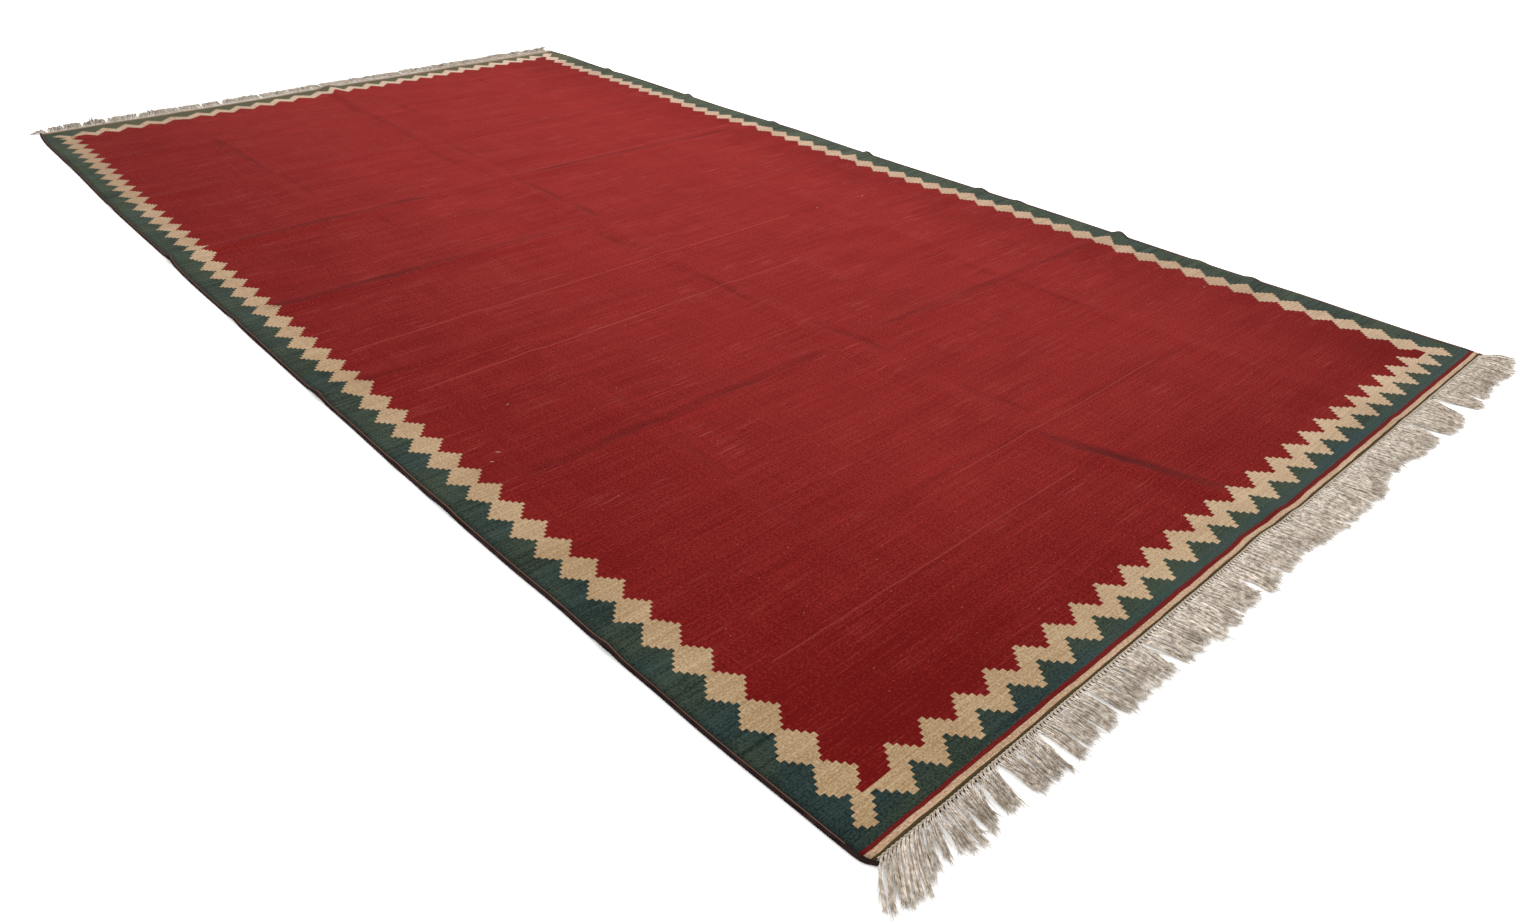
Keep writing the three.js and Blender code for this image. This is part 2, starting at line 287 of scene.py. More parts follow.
def along_to_y(along, across):
    near = read(ENDS, "across", "near", across) * np.clip(1 - along / NEAR_BOW_REACH, 0, 1)
    far = read(ENDS, "across", "far", across) * np.clip(1 - (LENGTH - along) / FAR_BOW_REACH, 0, 1)
    return NEAR_CORNER + along - near + far


PINCH_FROM = 1.8  # across: from here to the right side the folds that run across draw in to sharper ones
PINCH = 0.45  # of their width, at the side


def off_crest(fold, along, across):
    """How far a place is from a fold's crest, in half widths, with the crest's rise there."""
    run, off = (across, along) if fold["runs"] == "across" else (along, across)
    sideways = "along" if fold["runs"] == "across" else "across"
    crest = read(fold["crest"], fold["runs"], sideways, run)
    rise = np.maximum(read(fold["crest"], fold["runs"], "rise", run), 0)
    half_width = fold["half_width"]
    if fold["runs"] == "across":
        half_width = half_width * (1 - PINCH * np.clip((run - PINCH_FROM) / (WIDTH - PINCH_FROM), 0, 1))
    return (off - crest) / half_width, rise


def lift(along, across):
    """How far the folds lift the underside of the cloth off the floor."""
    squares = 0 * along * across
    for fold in FOLDS:
        off, rise = off_crest(fold, along, across)
        bump = rise * (0.5 + 0.5 * np.cos(np.pi * np.clip(off, -1, 1)))
        squares = squares + bump**2
    return np.sqrt(squares)


# Between its folds the cloth has shallow swells. Each is a wave with its own length and direction.
SWELLS = table(
    "long turn start height",
    (0.62, 0.3, 0.0, 0.0009),
    (0.41, 1.9, 1.7, 0.0008),
    (0.27, 2.6, 4.1, 0.0006),
    (0.19, 1.2, 2.3, 0.0004),
    (0.13, 1.5, 5.2, 0.0003),
)


def swell(along, across):
    total = 0 * along * across
    for wave in SWELLS:
        way = across * math.cos(wave["turn"]) + along * math.sin(wave["turn"])
        total = total + wave["height"] * np.sin(2 * np.pi * way / wave["long"] + wave["start"])
    return np.maximum(total, 0)


# Sharp creases, where the folds were pressed. A row is one crease, from one end to the other.
CREASES = table(
    "across along deep",
    ((0.16, 0.70), (2.431, 2.434), 1.2),
    ((1.03, 1.84), (2.440, 2.399), 1.05),
    ((0.07, 0.57), (1.962, 1.958), 1.5),
    ((0.57, 0.91), (1.958, 1.954), 0.6),
    ((1.03, 1.90), (1.952, 1.932), 0.5),
    ((0.16, 0.89), (0.970, 0.966), 1.1),
    ((1.07, 1.86), (0.970, 0.941), 0.8),
    ((0.16, 1.0), (0.488, 0.470), 0.3),
    ((1.1, 1.84), (0.470, 0.430), 0.35),
    ((0.07, 0.25), (1.486, 1.482), 0.7),
    ((0.946, 0.942), (3.75, 2.97), 0.5),
    ((0.917, 0.922), (2.863, 2.649), 0.6),
    ((1.003, 1.003), (2.92, 2.68), 0.5),
    ((0.985, 0.992), (2.434, 1.97), 0.9),
    ((0.91, 0.946), (1.881, 1.72), 0.9),
    ((0.946, 0.948), (1.577, 1.256), 0.6),
    ((0.974, 1.003), (1.113, 0.863), 0.75),
    ((1.003, 1.021), (0.70, 0.506), 0.6),
    ((0.958, 1.062), (0.455, 0.10), 1.9),
    ((0.431, 0.446), (3.399, 2.934), 0.95),
    ((0.446, 0.448), (2.95, 2.92), 1.1),
    ((0.467, 0.471), (2.916, 2.649), 0.45),
    ((0.524, 0.542), (2.381, 2.274), 0.45),
    ((0.446, 0.41), (1.095, 0.506), 0.45),
    ((1.50, 1.53), (1.095, 0.684), 0.45),
    ((1.50, 1.50), (3.613, 3.506), 0.5),
    ((1.09, 1.085), (3.434, 3.274), 0.6),
    ((1.35, 1.37), (2.99, 2.85), 0.35),
)
CREASE_DEPTH = 0.0014  # of a trough whose deep is 1
CREASE_HALF_WIDTH = 0.0145
CREASE_FADE = 0.05  # at each end of a trough


def creased(along, across):
    """How deep in a crease each place is: 1 at the bottom of one whose deep is 1."""
    deepest = 0 * along * across
    for crease in CREASES:
        (x0, x1), (y0, y1) = crease["across"], crease["along"]
        long = math.hypot(x1 - x0, y1 - y0)
        way_x, way_y = (x1 - x0) / long, (y1 - y0) / long
        run = (across - x0) * way_x + (along - y0) * way_y
        wander = 0.003 * np.sin(run * 31 + 9 * x0) + 0.0016 * np.sin(run * 83 + 5 * y0)
        off = (across - x0) * way_y - (along - y0) * way_x + wander
        half_width = CREASE_HALF_WIDTH * (0.8 + 0.6 * crease["deep"])
        trough = 0.5 + 0.5 * np.cos(np.pi * np.clip(off / half_width, -1, 1))
        inside = np.clip(np.minimum(run, long - run) / min(CREASE_FADE, long / 2) + 0.2, 0, 1)
        broken = 0.78 + 0.22 * np.sin(run * 23 + 17 * x0)
        deepest = np.maximum(deepest, crease["deep"] * trough * inside * broken)
    return deepest


def cell_lines(fine, start, end):
    """Where the upper face's cells begin and end on one way: finer in the parts where folds lie."""
    lines = [start]
    while lines[-1] < end or (len(lines) - 1) % UNDER_STEP:
        near = any(first < lines[-1] < last for first, last in fine)
        lines.append(lines[-1] + (FOLD_CELL if near else OPEN_CELL))
    return np.interp(np.array(lines), [start, lines[-1]], [start, end])


def sheet_points(along, across):
    """The points of a grid on the underside, row by row, and each point's number in that grid."""
    grid_across, grid_along = np.meshgrid(across, along)
    x = across_to_x(grid_along, grid_across)
    y = along_to_y(grid_along, grid_across)
    z = lift(grid_along, grid_across) + swell(grid_along, grid_across)
    points = np.stack([x, y, z], 2).reshape(-1, 3)
    places = np.stack([grid_across.ravel(), grid_along.ravel()], 1)
    return points, places, np.arange(len(points)).reshape(grid_along.shape)


def grid_faces(k):
    return np.stack([k[:-1, :-1], k[:-1, 1:], k[1:, 1:], k[1:, :-1]], 2).reshape(-1, 4)


def round_rim(k):
    """The numbers of a grid's outer points, anticlockwise."""
    return np.concatenate([k[0, :-1], k[:-1, -1], k[-1, :0:-1], k[:0:-1, 0]])


def weave_ground():
    """A closed sheet: a fine upper face and a coarser underside, joined round the rim."""
    across = cell_lines(FINE_ACROSS, EDGE, WIDTH - EDGE)
    along = cell_lines(FINE_ALONG, END, LENGTH - END)
    over, over_places, k = sheet_points(along, across)
    deep = creased(over_places[:, 1], over_places[:, 0])
    over[:, 2] += CLOTH - CREASE_DEPTH * deep
    under, under_places, n = sheet_points(along[::UNDER_STEP], across[::UNDER_STEP])
    n = n + len(over)
    faces = grid_faces(k).tolist() + grid_faces(n)[:, ::-1].tolist()
    upper_rim, lower_rim = round_rim(k), round_rim(n)
    for cell, corner in enumerate(lower_rim):
        following = lower_rim[(cell + 1) % len(lower_rim)]
        reach = [(cell * UNDER_STEP + step) % len(upper_rim) for step in range(UNDER_STEP, -1, -1)]
        faces.append([corner, following, *upper_rim[reach].tolist()])
    mesh = bpy.data.meshes.new("kilim_cloth")
    mesh.from_pydata(np.concatenate([over, under]).tolist(), [], faces)
    mesh.update()
    corner = np.zeros(len(mesh.loops), np.int32)
    mesh.loops.foreach_get("vertex_index", corner)
    places = np.concatenate([over_places, under_places])[corner]
    for name, spread in (("OFBake", (WIDTH, LENGTH)), ("weave", (1, 1))):
        layer = mesh.uv_layers.new(name=name)
        layer.data.foreach_set("uv", (places / spread).astype(np.float32).ravel())
    pressed = mesh.attributes.new("pressed", "FLOAT", "POINT")
    pressed.data.foreach_set("value", np.concatenate([deep, np.zeros(len(under))]).astype(np.float32))
    mesh.shade_smooth()
    return add_object("kilim_cloth", mesh)


# The design, woven in dyed wool. A unit is one pair of warps, and a row is what a step is high.
UNIT = 0.0078
ROW = 0.0088
RIB = 0.0039  # from warp to warp
WEFT = 0.0011

# The side chains: how many diamonds lie before each place. The weaver's rows weren't all beaten alike.
LEFT_CHAIN = table(
    "along diamonds",
    (0.0, -1.63),
    (0.1185, 0),
    (0.475, 5),
    (0.8285, 10),
    (1.1825, 15),
    (1.393, 18),
    (1.472, 19),
    (1.5345, 20),
    (1.884, 25),
    (2.302, 31),
    (2.3855, 32),
    (2.445, 33),
    (2.9335, 40),
    (3.278, 45),
    (3.674, 51),
    (LENGTH, 53.7),
)
RIGHT_CHAIN = table(
    "along diamonds",
    (0.0, -2.05),
    (0.134, 0),
    (0.326, 3),
    (0.396, 4),
    (0.655, 8),
    (0.865, 11),
    (1.0, 13),
    (1.337, 18),
    (1.543, 21),
    (1.827, 25),
    (1.903, 26),
    (2.253, 31),
    (2.326, 32),
    (2.407, 33),
    (2.674, 37),
    (2.966, 41),
    (3.307, 46),
    (3.385, 47),
    (3.656, 51),
    (LENGTH, 53.9),
)
# The middle of each chain, from its own side of the rug, and how wide a unit is there: the warps of the
# chains were drawn closer than the others, and more so farther on.
CHAIN_MIDDLES = table(
    "along left right unit",
    (0.0, 0.0700, 0.0815, 0.0069),
    (0.11, 0.0715, 0.082, 0.0069),
    (0.3, 0.0775, 0.085, 0.0069),
    (0.6, 0.0785, 0.088, 0.0069),
    (0.9, 0.076, 0.084, 0.0069),
    (1.2, 0.0755, 0.083, 0.0067),
    (1.6, 0.0765, 0.088, 0.0066),
    (1.75, 0.074, 0.087, 0.0066),
    (2.0, 0.0765, 0.0865, 0.0065),
    (2.3, 0.0755, 0.083, 0.0063),
    (2.7, 0.074, 0.0885, 0.0063),
    (3.1, 0.0725, 0.0845, 0.0062),
    (3.5, 0.0735, 0.083, 0.0062),
    (LENGTH, 0.070, 0.083, 0.0062),
)
# The end zigzags: where each number of peaks has been reached, at the near end and at the far end.
ZIGZAG = table(
    "peaks near far",
    (-2.2, 0.0, 0.0),
    (-0.5, 0.127, 0.1225),
    (0.5, 0.1917, 0.1837),
    (2.5, 0.332, 0.3225),
    (3.5, 0.4025, 0.400),
    (4.5, 0.475, 0.488),
    (5.5, 0.5466, 0.554),
    (9.5, 0.824, 0.839),
    (10.5, 0.900, 0.931),
    (11.5, 0.965, 0.984),
    (12.5, 1.027, 1.056),
    (14.5, 1.180, 1.190),
    (16.5, 1.322, 1.331),
    (17.5, 1.389, 1.393),
    (18.5, 1.461, 1.467),
    (19.5, 1.536, 1.533),
    (20.5, 1.605, 1.608),
    (23.5, 1.809, 1.811),
    (24.5, 1.8685, 1.8725),
    (26.4, WIDTH, WIDTH),
)
LAST_PEAK = 24
PEAK_UNITS = 9  # from one peak to the next
ZIGZAG_TOP = 0.1165  # from the end to its inner tips
ZIGZAG_TOP_STEP = 0.0085
GREEN_TOP = 0.0758  # and to the tips of the green below it
GREEN_TOP_STEP = 0.0093
# How much farther in than its usual place each zigzag was woven.
DRIFT = table(
    "across near far",
    (0.0, -0.0005, 0.029),
    (0.3, 0.0005, 0.0275),
    (0.54, 0.003, 0.0265),
    (0.88, 0.0045, 0.016),
    (0.99, 0.004, 0.004),
    (1.1, 0.0035, 0.010),
    (1.25, 0.0035, 0.0065),
    (1.44, 0.0055, -0.001),
    (1.7, 0.005, -0.0065),
    (WIDTH, 0.005, -0.007),
)
# Where the tail that closes each corner has its outermost step, from the end of the rug.
TAIL_TIPS = dict(near_left=0.0545, near_right=0.072, far_left_shade=0.078, far_right=0.05)
TAIL_ROWS = 4.5  # from there to the last diamond
TAIL_UNITS = 4.3  # from the side to its outermost step
# The stripes along each end: from its edge to here olive, then peach, then red.
OLIVE_STRIPE = 0.0108
PEACH_STRIPE = 0.0190
RED_STRIPE = 0.0248


def dye(red, green, blue):
    """The colour of yarn that looks like this on a screen, in light as strong as the studio's."""
    seen = [c / 12.92 / 255 if c < 10.3 else ((c / 255 + 0.055) / 1.055) ** 2.4 for c in (red, green, blue)]
    return [c / LIGHT for c in seen]


DEEP_RED = dye(100, 12, 11)
PALE_RED = dye(145, 41, 37)
BLEACHED_RED = dye(168, 84, 78)
LINT = dye(214, 170, 158)
DARK_CREAM = dye(150, 120, 84)
PALE_CREAM = dye(194, 169, 134)
DARK_CREAM_UNDER_SHEEN = dye(158, 133, 115)
PALE_CREAM_UNDER_SHEEN = dye(205, 179, 161)
DARK_TEAL = dye(22, 32, 29)
PALE_TEAL = dye(63, 74, 59)
BLUE_TEAL = dye(46, 66, 68)
DARK_TEAL_UNDER_SHEEN = dye(40, 46, 38)
PALE_TEAL_UNDER_SHEEN = dye(84, 91, 75)
FAR_GREEN = dye(90, 84, 62)
HEM_TEAL = dye(46, 71, 79)
STRIPE_RED = dye(114, 31, 28)
DARK_STRIPE_RED = dye(88, 19, 18)
PEACH = dye(208, 175, 150)
GREY_PEACH = dye(158, 146, 128)
OLIVE = dye(78, 65, 41)
FAR_OLIVE = dye(84, 72, 54)
CREASE_SHADE = dye(30, 10, 10)


def feed(slot, value):
    """Links a measure or a node's output to an input, or sets the input to a plain value."""
    value = getattr(value, "socket", value)
    if isinstance(value, bpy.types.NodeSocket):
        slot.id_data.links.new(value, slot)
    else:
        slot.default_value = value


def add_node(tree, kind, inputs, **settings):
    """A new node of a tree, with its own settings made first and then its inputs fed."""
    node = tree.nodes.new(kind)
    for label, value in settings.items():
        setattr(node, label, value)
    for label, value in inputs.items():
        feed(node.inputs[label], value)
    return node


def working(operation):
    """An operation as a method of a measure."""
    return lambda measure, *others: measure.worked(operation, *others)


class Measure:
    """A number that varies over a surface, so that a material's sums are written as plain arithmetic."""

    def __init__(self, socket):
        self.socket = socket
        self.tree = socket.id_data

    def worked(self, operation, *others):
        inputs = dict(enumerate((self, *others)))
        return Measure(add_node(self.tree, "ShaderNodeMath", inputs, operation=operation).outputs[0])

    __add__ = working("ADD")
    __sub__ = working("SUBTRACT")
    __mul__ = working("MULTIPLY")
    __truediv__ = working("DIVIDE")
    __lt__ = working("LESS_THAN")
    __gt__ = working("GREATER_THAN")
    both = working("MULTIPLY")
    either = working("MAXIMUM")
    least = working("MINIMUM")
    floor = working("FLOOR")
    size = working("ABSOLUTE")

    def __rsub__(self, other):
        return self.worked("MULTIPLY_ADD", -1.0, other)

    def chosen(self, where_one, where_nought):
        """This measure is 0 or 1 and picks one of two others."""
        inputs = dict(Factor=self, A=where_nought, B=where_one)
        return Measure(add_node(self.tree, "ShaderNodeMix", inputs).outputs["Result"])

    def spread(self, low, high):
        """0 below low and 1 above high, with a soft change between."""
        inputs = {"Value": self, "From Min": low, "From Max": high}
        node = add_node(self.tree, "ShaderNodeMapRange", inputs, interpolation_type="SMOOTHSTEP")
        return Measure(node.outputs["Result"])


def dyed(share, first, second):
    """The first colour where share is 0 and the second where it is 1, each three numbers or another mix."""
    first, second = (c if isinstance(c, Measure) else (*c, 1) for c in (first, second))
    inputs = {"Factor": share, 6: first, 7: second}
    return Measure(add_node(share.tree, "ShaderNodeMix", inputs, data_type="RGBA").outputs[2])


def uneven(across, along, wide, long, seed, detail=1.0):
    """Noise from 0 to 1 in patches of the given width and length."""
    tree = across.tree
    place = add_node(tree, "ShaderNodeCombineXYZ", dict(X=across / wide, Y=along / long, Z=seed))
    inputs = dict(Scale=1.0, Detail=detail, Vector=place.outputs["Vector"])
    return Measure(add_node(tree, "ShaderNodeTexNoise", inputs).outputs["Fac"])


def looked_up(at, rows, place, column):
    """A table's column on the surface, straight between its rows. The first row's place is 0."""
    last = rows[-1][place]
    least = min(row[column] for row in rows)
    span = max(row[column] for row in rows) - least
    node = add_node(at.tree, "ShaderNodeFloatCurve", dict(Value=at / last))
    curve = node.mapping.curves[0]
    for number, row in enumerate(rows):
        point = (row[place] / last, (row[column] - least) / span)
        if number < 2:
            curve.points[number].location = point
        else:
            curve.points.new(*point)
    for point in curve.points:
        point.handle_type = "VECTOR"
    node.mapping.update()
    return Measure(node.outputs["Value"]) * span + least


def parts(vector):
    """The measures of a vector's three parts."""
    split = add_node(vector.id_data, "ShaderNodeSeparateXYZ", {0: vector})
    return [Measure(part) for part in split.outputs]


# Single wefts of the field that took less dye than the rest.
PALE_WEFTS = table(
    "along across",
    (1.638, (0.14, 1.41)),
    (1.381, (0.16, 1.20)),
    (0.327, (0.16, 0.91)),
    (0.463, (0.73, 1.41)),
    (2.452, (0.9, 1.86)),
)
PALE_WEFT_WIDTH = 0.0030
# Bits of pale lint that cling to the weave. Turn is in radians from the way across.
LINT_SPOTS = table(
    "across along long turn",
    (0.162, 1.073, 0.006, -0.9),
    (0.137, 1.052, 0.004, -0.7),
    (0.265, 1.216, 0.004, 0.2),
    (1.510, 1.628, 0.005, 0.1),
    (1.684, 1.615, 0.005, 0.3),
    (1.857, 0.593, 0.0045, 0.8),
)
LINT_WIDTH = 0.001


def dye_ground(across, along, pressed):
    """The colour of the cloth at a place: the design first, then how unevenly the wool took the dye."""

    def noise(wide, long, seed, detail=2.0):
        return uneven(across, along, wide, long, seed, detail)

    hand_across = across + (noise(0.05, 0.02, 3.1, 1.0) - 0.5) * 0.0016
    hand_along = along + (noise(0.045, 0.03, 8.4, 1.0) - 0.5) * 0.003
    on_right = across > WIDTH / 2
    on_far = along > LENGTH / 2
    from_side = on_right.chosen(WIDTH - hand_across, hand_across)
    from_end = on_far.chosen(LENGTH - hand_along, hand_along)

    # A diamond is eight rows long and one to five units wide on each side of its chain's middle.
    left_count = looked_up(hand_along, LEFT_CHAIN, "along", "diamonds")
    right_count = looked_up(hand_along, RIGHT_CHAIN, "along", "diamonds")
    row = ((on_right.chosen(right_count, left_count) + 1 / 16).worked("FRACT") * 8).floor()
    half = 5 - row.least(8 - row)
    columns = ("left", "right", "unit")
    left, right, unit = (looked_up(along, CHAIN_MIDDLES, "along", column) for column in columns)
    off_middle = (from_side - on_right.chosen(right, left)) / unit

    # Below the last diamond is the tail. From the row of its tip its edge steps in by a unit a row.
    near_tip = on_right.chosen(TAIL_TIPS["near_right"], TAIL_TIPS["near_left"])
    far_tip = on_right.chosen(TAIL_TIPS["far_right"], TAIL_TIPS["far_left_shade"])
    tip = on_far.chosen(far_tip, near_tip)
    rows_below = ((tip - from_end) / ROW + 0.5).floor().size()
    beyond_tail = (from_side / UNIT) < (rows_below + on_right.both(along < 1.0) * 0.5 + TAIL_UNITS)
    in_chain = from_end > (tip + TAIL_ROWS * ROW)
    half = in_chain.chosen(half, 1.0)
    outside = in_chain.chosen(off_middle < half * -1, beyond_tail)
    inside = off_middle > half

    # The zigzag: from each peak its edges step down on both sides, by four steps at most.
    near_peaks = looked_up(hand_across, ZIGZAG, "near", "peaks")
    far_peaks = looked_up(hand_across, ZIGZAG, "far", "peaks")
    peaks = on_far.chosen(far_peaks, near_peaks)
    nearest = (peaks + 0.5).floor()
    cream_peak = nearest.either(0.0).least(LAST_PEAK)
    green_peak = nearest.either(-1.0).least(LAST_PEAK + 1.0)
    cream_steps = ((peaks - cream_peak).size() * PEAK_UNITS + 0.32).floor().least(4.0)
    green_steps = ((peaks - green_peak).size() * PEAK_UNITS + 0.32).floor().least(4.0)
    near_drift = looked_up(across, DRIFT, "across", "near")
    far_drift = looked_up(across, DRIFT, "across", "far")
    height = from_end - on_far.chosen(far_drift, near_drift)
    red = inside.both(height > (ZIGZAG_TOP - cream_steps * ZIGZAG_TOP_STEP))
    green = outside.either(height < (GREEN_TOP - green_steps * GREEN_TOP_STEP))

    # The field: dye that varies by the weft and the yarn, darker towards the sides and the near end as
    # painted shade, and worn yarn.
    band = noise(1.3, 0.03, 1.0) - 0.5
    mottle = noise(0.16, 0.09, 2.0) - 0.5
    thread = noise(0.20, 0.0034, 5.0) - 0.5
    warp = noise(0.009, 0.24, 6.0) - 0.5
    grain = noise(0.005, 0.0031, 7.0) - 0.5
    fine_grain = noise(0.0042, 0.0027, 17.0) - 0.5
    # Paler away from both sides and the near end, so darker at the edges: painted shade.
    painted_light_inward = across.spread(0.05, 0.8) * 0.32 + along.spread(0.1, 0.5) * 0.24
    painted_light_inward = painted_light_inward + (WIDTH - across).spread(0.1, 0.4) * 0.26
    depth = band * 0.25 + mottle * 0.35 + thread * 0.95 + warp * 0.35 + grain * 2.0 + painted_light_inward - 0.29
    border_depth = band * 0.25 + mottle * 0.7 + thread * 1.1 + warp * 0.4 + fine_grain * 2.3 + 0.5
    gathered = noise(0.22, 0.07, 10.0, 1.0).spread(0.42, 0.62)
    worn = noise(0.09, 0.0028, 11.0, 1.0).spread(0.58, 0.76).both(gathered)
    for weft in PALE_WEFTS:
        on_weft = (hand_along - weft["along"]).size() < PALE_WEFT_WIDTH / 2
        reaches = (across > weft["across"][0]).both(across < weft["across"][1])
        worn = worn.either(on_weft.both(reaches) * 0.8)
    field = dyed(depth, DEEP_RED, PALE_RED)
    field = dyed(worn * (along.spread(0.4, 0.9) * 0.2 + 0.28), field, BLEACHED_RED)

    # The cream: paler, pinker and greyer towards the far right corner as painted sheen; darker in the side
    # chains, most of all far on the left, as painted shade; in the end zigzags paler right of their left
    # corners as painted light; and paler in the right chain near the near end.
    at_side = from_end.spread(0.1, 0.25)
    at_middle = (1 - at_side).both(across.spread(0.2, 0.9))
    painted_sheen = (across * 0.22 + along * 0.14).least(1.0)
    dark_cream = dyed(painted_sheen, DARK_CREAM, DARK_CREAM_UNDER_SHEEN)
    pale_cream = dyed(painted_sheen, PALE_CREAM, PALE_CREAM_UNDER_SHEEN)
    # Darker in the side chains, most of all far on the left: painted shade. Paler in the end zigzags right
    # of their left corners (at_middle): painted light.
    far_left_shade = along.spread(2.2, 3.6) * (0.36 - across * 0.15)
    painted_cream_shade = at_side * (across * 0.05 + 0.18 + far_left_shade) + (1 - at_side) * 0.14
    paler_near_right = across.spread(1.7, 1.9).both(1 - along.spread(0.3, 0.6)) * 0.28
    cream = dyed(border_depth - painted_cream_shade + at_middle * 0.27 + paler_near_right * at_side, dark_cream, pale_cream)

    # The green, in batches of dye: greyer and paler far off and to the right as painted sheen, paler in the
    # end zigzags right of their left corners as painted light, bluer beside the near end's stripes.
    batch = noise(0.3, 0.16, 14.0, 1.0).spread(0.42, 0.6)
    painted_teal_sheen = (across * 0.2 + along * 0.2).least(1.0)
    dark_teal = dyed(painted_teal_sheen, DARK_TEAL, DARK_TEAL_UNDER_SHEEN)
    pale_teal = dyed(painted_teal_sheen, dyed(batch * 0.8, PALE_TEAL, BLUE_TEAL), PALE_TEAL_UNDER_SHEEN)
    streak = (noise(0.1, 0.008, 18.0) - 0.5).both(at_side)
    teal = dyed(border_depth + at_middle * 0.2 + streak * 1.3, dark_teal, pale_teal)
    at_far_end = on_far.both(1 - at_side).both(across.spread(0.04, 0.2))
    teal = dyed(at_far_end * 0.6, teal, FAR_GREEN)
    at_hem = at_middle.both(1 - from_end.spread(0.035, 0.06)).both(along < 1.0)
    teal = dyed(at_hem * 0.3, teal, HEM_TEAL)
    colour = dyed(green, dyed(red, cream, field), teal)

    # The end stripes, greyer and duller at the far end, where they take painted shade from the fringe that
    # lies over them.
    stripe = from_end + (noise(0.06, 1.0, 9.0, 1.0) - 0.5) * 0.004
    peach = dyed(on_far, PEACH, GREY_PEACH)
    last_stripe = dyed(on_far * 0.4, OLIVE, GREY_PEACH)
    red_stripe = dyed(on_far * 0.85, dyed(border_depth, DARK_STRIPE_RED, STRIPE_RED), FAR_OLIVE)
    colour = dyed(stripe < (across.spread(0.02, 0.5) * 0.002 + RED_STRIPE), colour, red_stripe)
    colour = dyed(stripe < PEACH_STRIPE, colour, dyed(border_depth, dark_cream, peach))
    colour = dyed(stripe < OLIVE_STRIPE, colour, last_stripe)

    # Pale specks and lint, and the shade in the creases.
    speck = noise(0.0048, 0.0032, 12.0, 0.0).spread(0.84, 0.88)
    colour = dyed(speck.both(red.both(green < 0.5)) * 0.4, colour, LINT)
    for spot in LINT_SPOTS:
        aside, onward = across - spot["across"], along - spot["along"]
        cosine, sine = math.cos(spot["turn"]), math.sin(spot["turn"])
        lengthwise = (aside * cosine + onward * sine) / spot["long"]
        sideways = (onward * cosine - aside * sine) / LINT_WIDTH
        on_spot = (lengthwise * lengthwise + sideways * sideways) < 1.0
        colour = dyed(on_spot * 0.55, colour, LINT)
    return dyed(pressed * 0.30, colour, CREASE_SHADE)


def weave_relief(across, along):
    """Height of the yarn: wefts packed over the warps like beads in brick bond, and unevenly spun."""
    weft = (along / WEFT).floor()
    half_step = weft.worked("PINGPONG", 1.0)
    bead = ((across / (2 * RIB) + half_step * 0.5) * (2 * math.pi)).worked("COSINE")
    rib = ((across / RIB) * (2 * math.pi)).worked("COSINE")
    slub = uneven(across, along, 0.014, 0.0026, 21.0, 2.0)
    return bead * 0.25 + rib * 0.2 + slub * 0.8


def carried(tree, label, output):
    """What the mesh carries under a name."""
    return Measure(add_node(tree, "ShaderNodeAttribute", {}, attribute_name=label).outputs[output])


def woven_wool():
    finish, shader = new_finish("woven_wool", roughness=1.0, sheen=0.012)
    tree = finish.node_tree
    across, along = parts(add_node(tree, "ShaderNodeUVMap", {}, uv_map="weave").outputs["UV"])[:2]
    feed(shader.inputs["Base Color"], dye_ground(across, along, carried(tree, "pressed", "Fac")))
    relief = dict(Strength=0.55, Distance=0.0006, Height=weave_relief(across, along))
    feed(shader.inputs["Normal"], add_node(tree, "ShaderNodeBump", relief).outputs["Normal"])
    return finish


cloth = weave_ground()
cloth.data.materials.append(woven_wool())
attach(cloth, "root")
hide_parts("kilim_ground")

# The side cords
# Along each long side the outermost warps are bundled into a cord and overcast with nearly black wool, turn
# by turn. Along its top next to the cloth runs a rust brown line: painted highlight on its brown wool.
CORD_HEIGHT = 0.0046
CORD_SIDES = 10
WRAP_PITCH = 0.0027
WRAP_STEPS = 3
WRAP_DEPTH = 0.10  # of a groove between two turns, as a share of the cord's half width
# Where a cord is thicker, with its reach to each side: at the near corners, at folds, and in between.
SWOLLEN = table(
    "side along reach more",
    ("left", 0.006, 0.015, 0.08),
    ("left", 0.509, 0.02, 0.3),
    ("left", 0.9, 0.9, 0.2),
    ("left", 1.03, 0.045, 0.2),
    ("left", 1.157, 0.05, 0.3),
    ("left", 1.494, 0.03, 0.35),
    ("left", 1.82, 0.12, 0.25),
    ("left", 2.412, 0.014, 0.7),
    ("right", 0.008, 0.012, 0.1),
)
KNOT_END = 0.045  # along, where the knotted near corners end and the rust brown highlight line starts
# At the near right corner the end stripes' wool was also used to wrap the cord: peach, then red.
CORNER_PEACH_FROM = 0.009
CORNER_RED_TO = 0.0265
CORD_BROWN = dye(50, 36, 33)
CORD_BLACK = dye(28, 19, 19)
RUST_HIGHLIGHT = dye(120, 82, 70)
RUST_AT = 0.6  # from the cord's middle towards the cloth, in half widths
RUST_HALF_WIDTH = 0.24


def new_tree(name, inputs):
    """An empty Geometry Nodes tree with named inputs. Gives the tree, its input node and its output."""
    tree = bpy.data.node_groups.new(name, "GeometryNodeTree")
    tree.is_modifier = True
    for label, kind in dict(Geometry="Geometry", **inputs).items():
        tree.interface.new_socket(label, in_out="INPUT", socket_type="NodeSocket" + kind)
    tree.interface.new_socket("Geometry", in_out="OUTPUT", socket_type="NodeSocketGeometry")
    return tree, tree.nodes.new("NodeGroupInput"), tree.nodes.new("NodeGroupOutput")


